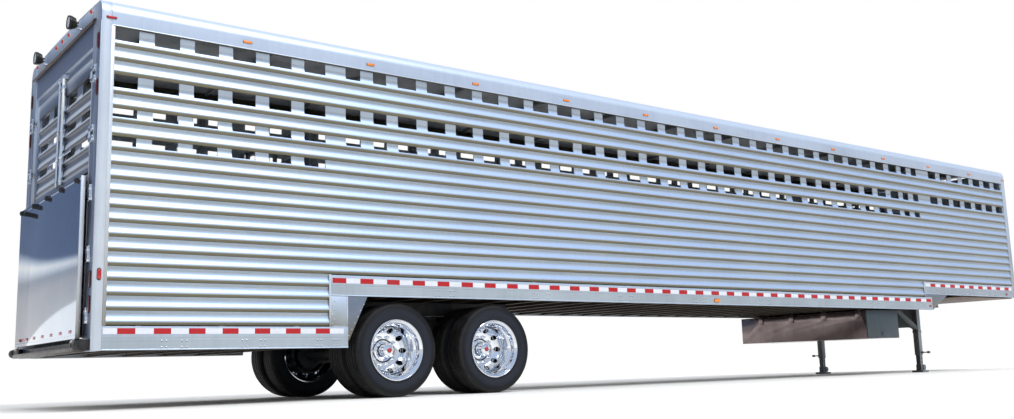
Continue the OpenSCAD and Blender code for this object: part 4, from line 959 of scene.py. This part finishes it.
# a thin flat ring in dark chassis paint round the hub: painted shade on the disc
shadeRingOutline = [(0.1106, 0.0126), (0.1106, 0.0134), (0.1225, 0.0134), (0.1235, 0.0126)]
nutOutline = [(0.0, 0.0128), (0.0185, 0.0128), (0.0195, 0.0155), (0.0160, 0.0190), (0.0160, 0.0340),
              (0.0140, 0.0370),
              (0.0110, 0.0375), (0.0110, 0.0530), (0.0090, 0.0558), (0.0, 0.0558)]
wheelLook = {"halfTrack": 0.985, "holes": 10, "holeCircle": 0.214, "holeRadius": 0.028, "nutCircle": 0.1429,
             "outer": 0.0115, "inner": -0.0125}
nutSpots = [Vector((wheelLook["nutCircle"] * cos(pi * k / 5), wheelLook["nutCircle"] * sin(pi * k / 5), 0))
            for k in range(10)]

for axle in ("rear", "front"):
    for name, sign in (("curb", -1), ("street", 1)):
        body = f"wheel_{axle}_{name}"
        low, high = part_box(f"tyres_{axle}_{name}")
        middleX, middleZ = (low.x + high.x) / 2, (low.z + high.z) / 2
        seatPlace = Matrix.Translation((middleX, sign * wheelLook["halfTrack"],
                                        middleZ)) @ Matrix.Rotation(-sign * pi / 2, 4, "X")
        title = axle.capitalize() + name.capitalize()
        tyres = Piece("tyres" + title, body, "tyre_rubber", (f"tyres_{axle}_{name}",))
        for shift in (tyreLook["offset"], -tyreLook["offset"] - 0.001):
            tyres.add(ringMapped(turnPart(outlineTyre, (0, 0, 0), "z", 96)), "tyre",
                      [seatPlace @ Matrix.Translation((0, 0, shift))])
        tyres.make(0.9)
        wheels = Piece("wheels" + title, body, "polished_wheel", (f"wheels_{axle}_{name}",))
        outerDisc = drilled(turnPart(wheelOutline, (0, 0, 0), "z", 80), wheelLook["holeCircle"],
                            wheelLook["holeRadius"], wheelLook["holes"], 0.03)
        innerDisc = outerDisc.copy()
        wheels.add(outerDisc, "mirror", [seatPlace @ Matrix.Translation((0, 0, wheelLook["outer"]))])
        wheels.add(innerDisc, "mirror", [seatPlace @ Matrix.Translation((0, 0, wheelLook["inner"]))
                                         @ Matrix.Scale(-1, 4, (0, 0, 1))])
        for outline, count, finish in ((hubOutline, 48, "mirror"), (drumOutline, 48, "chassis"),
                                       (capOutline, 32, "mirror"), (domeOutline, 24, "capRed"),
                                       (shadeRingOutline, 48, "chassis")):
            wheels.add(turnPart(outline, (0, 0, 0), "z", count), finish, [seatPlace])
        wheels.add(turnPart(nutOutline, (0, 0, 0), "z", 12), "mirror", [seatPlace @ Matrix.Translation(spot)
                                                                       for spot in nutSpots])
        wheels.make(0.5)
print("wheels made")

# running gear, toolbox, legs and coupling
springSide = [(0.0, 0.0), (0.080, 0.0), (0.086, 0.004), (0.092, 0.014), (0.104, 0.026), (0.115, 0.045),
              (0.122, 0.068),
              (0.126, 0.095), (0.1268, 0.125), (0.124, 0.155), (0.118, 0.178), (0.112, 0.192), (0.104, 0.204),
              (0.100, 0.212), (0.104, 0.222), (0.104, 0.246), (0.100, 0.250), (0.0, 0.250)]
springs = Piece("airSprings", "chassis", "black_rubber", ("air_springs",))
for x in (2.608, 3.853):
    springs.add(turnPart(springSide, at(x, -0.530, 0.6065), "z", 40), "rubber", sides=True)
    springs.add(turnPart([(0.0, 0), (0.098, 0), (0.100, 0.002), (0.100, 0.008), (0.098, 0.010), (0, 0.010)],
                         at(x, -0.530, 0.8565), "z", 32), "galvanised", sides=True)
springs.make()

softNodes = [   # name, CAD node, body, finish, slot, edge
    ("crossMembers", "cross_members", "chassis", "belly", "chassis_paint", 0.0015),
    ("bogieFrame", "bogie_frame", "chassis", "chassis", "chassis_paint", 0.003),
    ("axleBeams", "axle_beams", "chassis", "chassis", "chassis_paint", 0.002),
    ("trailingArms", "trailing_arms", "chassis", "chassis", "chassis_paint", 0.003),
    ("shockAbsorbers", "shock_absorbers", "chassis", "legs", "chassis_paint", 0.002),
    ("brakeChambers", "brake_chambers", "chassis", "galvanised", "galvanised_steel", 0.003),
    ("airTank", "air_tank", "chassis", "chassis", "chassis_paint", 0.006),
    ("couplerPlate", "coupler_plate", "chassis", "coupler", "coupler_steel", 0.001),
    ("kingpin", "kingpin", "chassis", "pin", "kingpin_steel", 0.002),
    ("airCouplings", "air_couplings", "chassis", "bright", "bright_steel", 0.001),
    ("toolbox", "toolbox", "chassis", "boxSheet", "stainless_sheet", 0.001),
    ("toolboxDoor", "toolbox_door", "toolbox_door", "boxDoor", "box_door_paint", 0.004),
    ("legHousings", "leg_housings", "chassis", "legs", "chassis_paint", 0.003),
    ("legBraces", "leg_braces", "chassis", "brace", "chassis_paint", 0.002),
    ("legCurb", "leg_curb", "leg_curb", "legs", "galvanised_steel", 0.003),
    ("legStreet", "leg_street", "leg_street", "legs", "galvanised_steel", 0.003),
    ("gateCurb", "gate_curb", "gate_curb", "galvanised", "galvanised_steel", 0.002),
    ("gateStreet", "gate_street", "gate_street", "galvanised", "galvanised_steel", 0.002),
    ("partitionRear", "partition_rear", "partition_rear", "galvanised", "galvanised_steel", 0.003),
    ("partitionFront", "partition_front", "partition_front", "galvanised", "galvanised_steel", 0.003),
    ("rampDeck", "ramp_deck", "ramp", "rubber", "black_rubber", 0.003),
]
for name, node, body, finish, slotName, edge in softNodes:
    softPiece(name, node, body, finish, slotName, edge)

steps = Piece("stepPlates", "chassis", "rail_aluminium", ("step_plates",))
# the set-back part past the rear step takes the darker gusset tones: painted shade
for behind, finish in ((True, "rail"), (False, "gusset")):
    part = softPart("step_plates", 0.001)
    bmesh.ops.bisect_plane(part, geom=part.verts[:] + part.edges[:] + part.faces[:], plane_co=at(2.433, 0, 0),
                           plane_no=(1, 0, 0), clear_outer=behind, clear_inner=not behind)
    steps.add(part, finish)
steps.make()

carried = {"deck_floors": "floor", "wall_stakes": "frame", "roof_bows": "frame", "roof_sheet": "roof"}
for node, finish in carried.items():
    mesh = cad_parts[node].data
    mesh.materials.clear()
    mesh.materials.append(finishes[finish])
print("running gear made")

# floor and lights
floorHalf = 90.0
ground = bmesh.new()
bmesh.ops.create_grid(ground, x_segments=4, y_segments=4, size=floorHalf)
groundMesh = bpy.data.meshes.new("studioFloor")
ground.to_mesh(groundMesh)
ground.free()
studioFloor = bpy.data.objects.new("studioFloor", groundMesh)
bpy.context.scene.collection.objects.link(studioFloor)
floorPaint = Paint("paleFloor")
soft = floorPaint.noise(2.0, detail=3)
groundMesh.materials.append(floorPaint.finish(Base_Color=floorPaint.mix(soft, (0.92, 0.92, 0.92, 1),
                                                                       (0.95, 0.95, 0.95, 1)), Roughness=0.9))

lightLook = {"sunWay": (-0.25, 1.0, -1.25), "sunPower": 1.6, "sunSoft": 0.5, "skyPower": 0.95}
sunData = bpy.data.lights.new("softSun", "SUN")
sunData.energy, sunData.angle = lightLook["sunPower"], lightLook["sunSoft"]
sun = bpy.data.objects.new("softSun", sunData)
sun.rotation_mode = "QUATERNION"
sun.rotation_quaternion = Vector(lightLook["sunWay"]).to_track_quat("-Z", "Y")
bpy.context.scene.collection.objects.link(sun)

# white to the camera, plain light on dull surfaces, and a blue sky over a pale skyline in polished ones
world = bpy.data.worlds.new("softSky")
bpy.context.scene.world = world
sky = Paint("softSky", world)
height = sky.along(2)
nearSky = sky.node("ShaderNodeValToRGB", {"stops": [(0.0, (0.66, 0.68, 0.70, 1)),
                                                    (1.0, (0.46, 0.58, 0.80, 1)),
                                                    (0.10, (0.66, 0.70, 0.76, 1)),
                                                    (0.30, (0.50, 0.62, 0.84, 1))]},
                   {0: height})
farSky = sky.node("ShaderNodeValToRGB", {"stops": [
    (0.0, (0.66, 0.66, 0.68, 1)), (1.0, (0.70, 0.80, 1.0, 1)), (0.06, (0.56, 0.56, 0.60, 1)),
    (0.085, (0.40, 0.44, 0.50, 1)), (0.098, (0.75, 0.80, 0.88, 1)), (0.107, (1.0, 1.0, 1.0, 1)),
    (0.114, (0.60, 0.68, 0.80, 1)), (0.124, (0.14, 0.19, 0.31, 1)), (0.33, (0.12, 0.17, 0.28, 1)),
    (0.48, (0.45, 0.55, 0.72, 1))]}, {0: height})
towardNose = sky.span(sky.along(0), 0.25, 0.95, 1.0, 0.62)   # dimmer towards the nose
mirrored = sky.mix(sky.span(sky.along(1), 0.2, 0.5), nearSky, farSky)
rays = sky.node("ShaderNodeLightPath")
glossy = rays.out("Is Glossy Ray")
shown = sky.mix(glossy, (1.0, 1.0, 1.0, 1.0), mirrored)
dome = sky.span(height, 0.0, 0.7, 0.35, 1.15) * lightLook["skyPower"]   # more light from overhead
power = (rays + (1 - rays) * dome) * (1 - glossy) + glossy * towardNose
sky.end("ShaderNodeOutputWorld", sky.node("ShaderNodeBackground", {}, {"Color": shown, "Strength": power}))
bpy.context.scene.view_settings.view_transform = "Standard"

cameraLook = {"place": (-10.4357, -10.1295, 0.2481), "turn": 0.6593, "lift": 0.1582, "roll": 0.0296,
              "lens": 35.556}
turn, lift, roll = cameraLook["turn"], cameraLook["lift"], cameraLook["roll"]
ahead = Vector((sin(turn) * cos(lift), cos(turn) * cos(lift), sin(lift)))
right = ahead.cross(Vector((0, 0, 1))).normalized()
down = ahead.cross(right)
rightTilted = right * cos(roll) + down * sin(roll)
upTilted = right * sin(roll) - down * cos(roll)
cameraData = bpy.data.cameras.new("camera")
cameraData.lens, cameraData.sensor_width = cameraLook["lens"], 36.0
cameraData.clip_start, cameraData.clip_end = 0.1, 400.0
camera = bpy.data.objects.new("camera", cameraData)
camera.matrix_world = Matrix((rightTilted, upTilted, -ahead)).transposed().to_4x4()
camera.location = cameraLook["place"]
bpy.context.scene.collection.objects.link(camera)
bpy.context.scene.camera = camera
print("stage made")
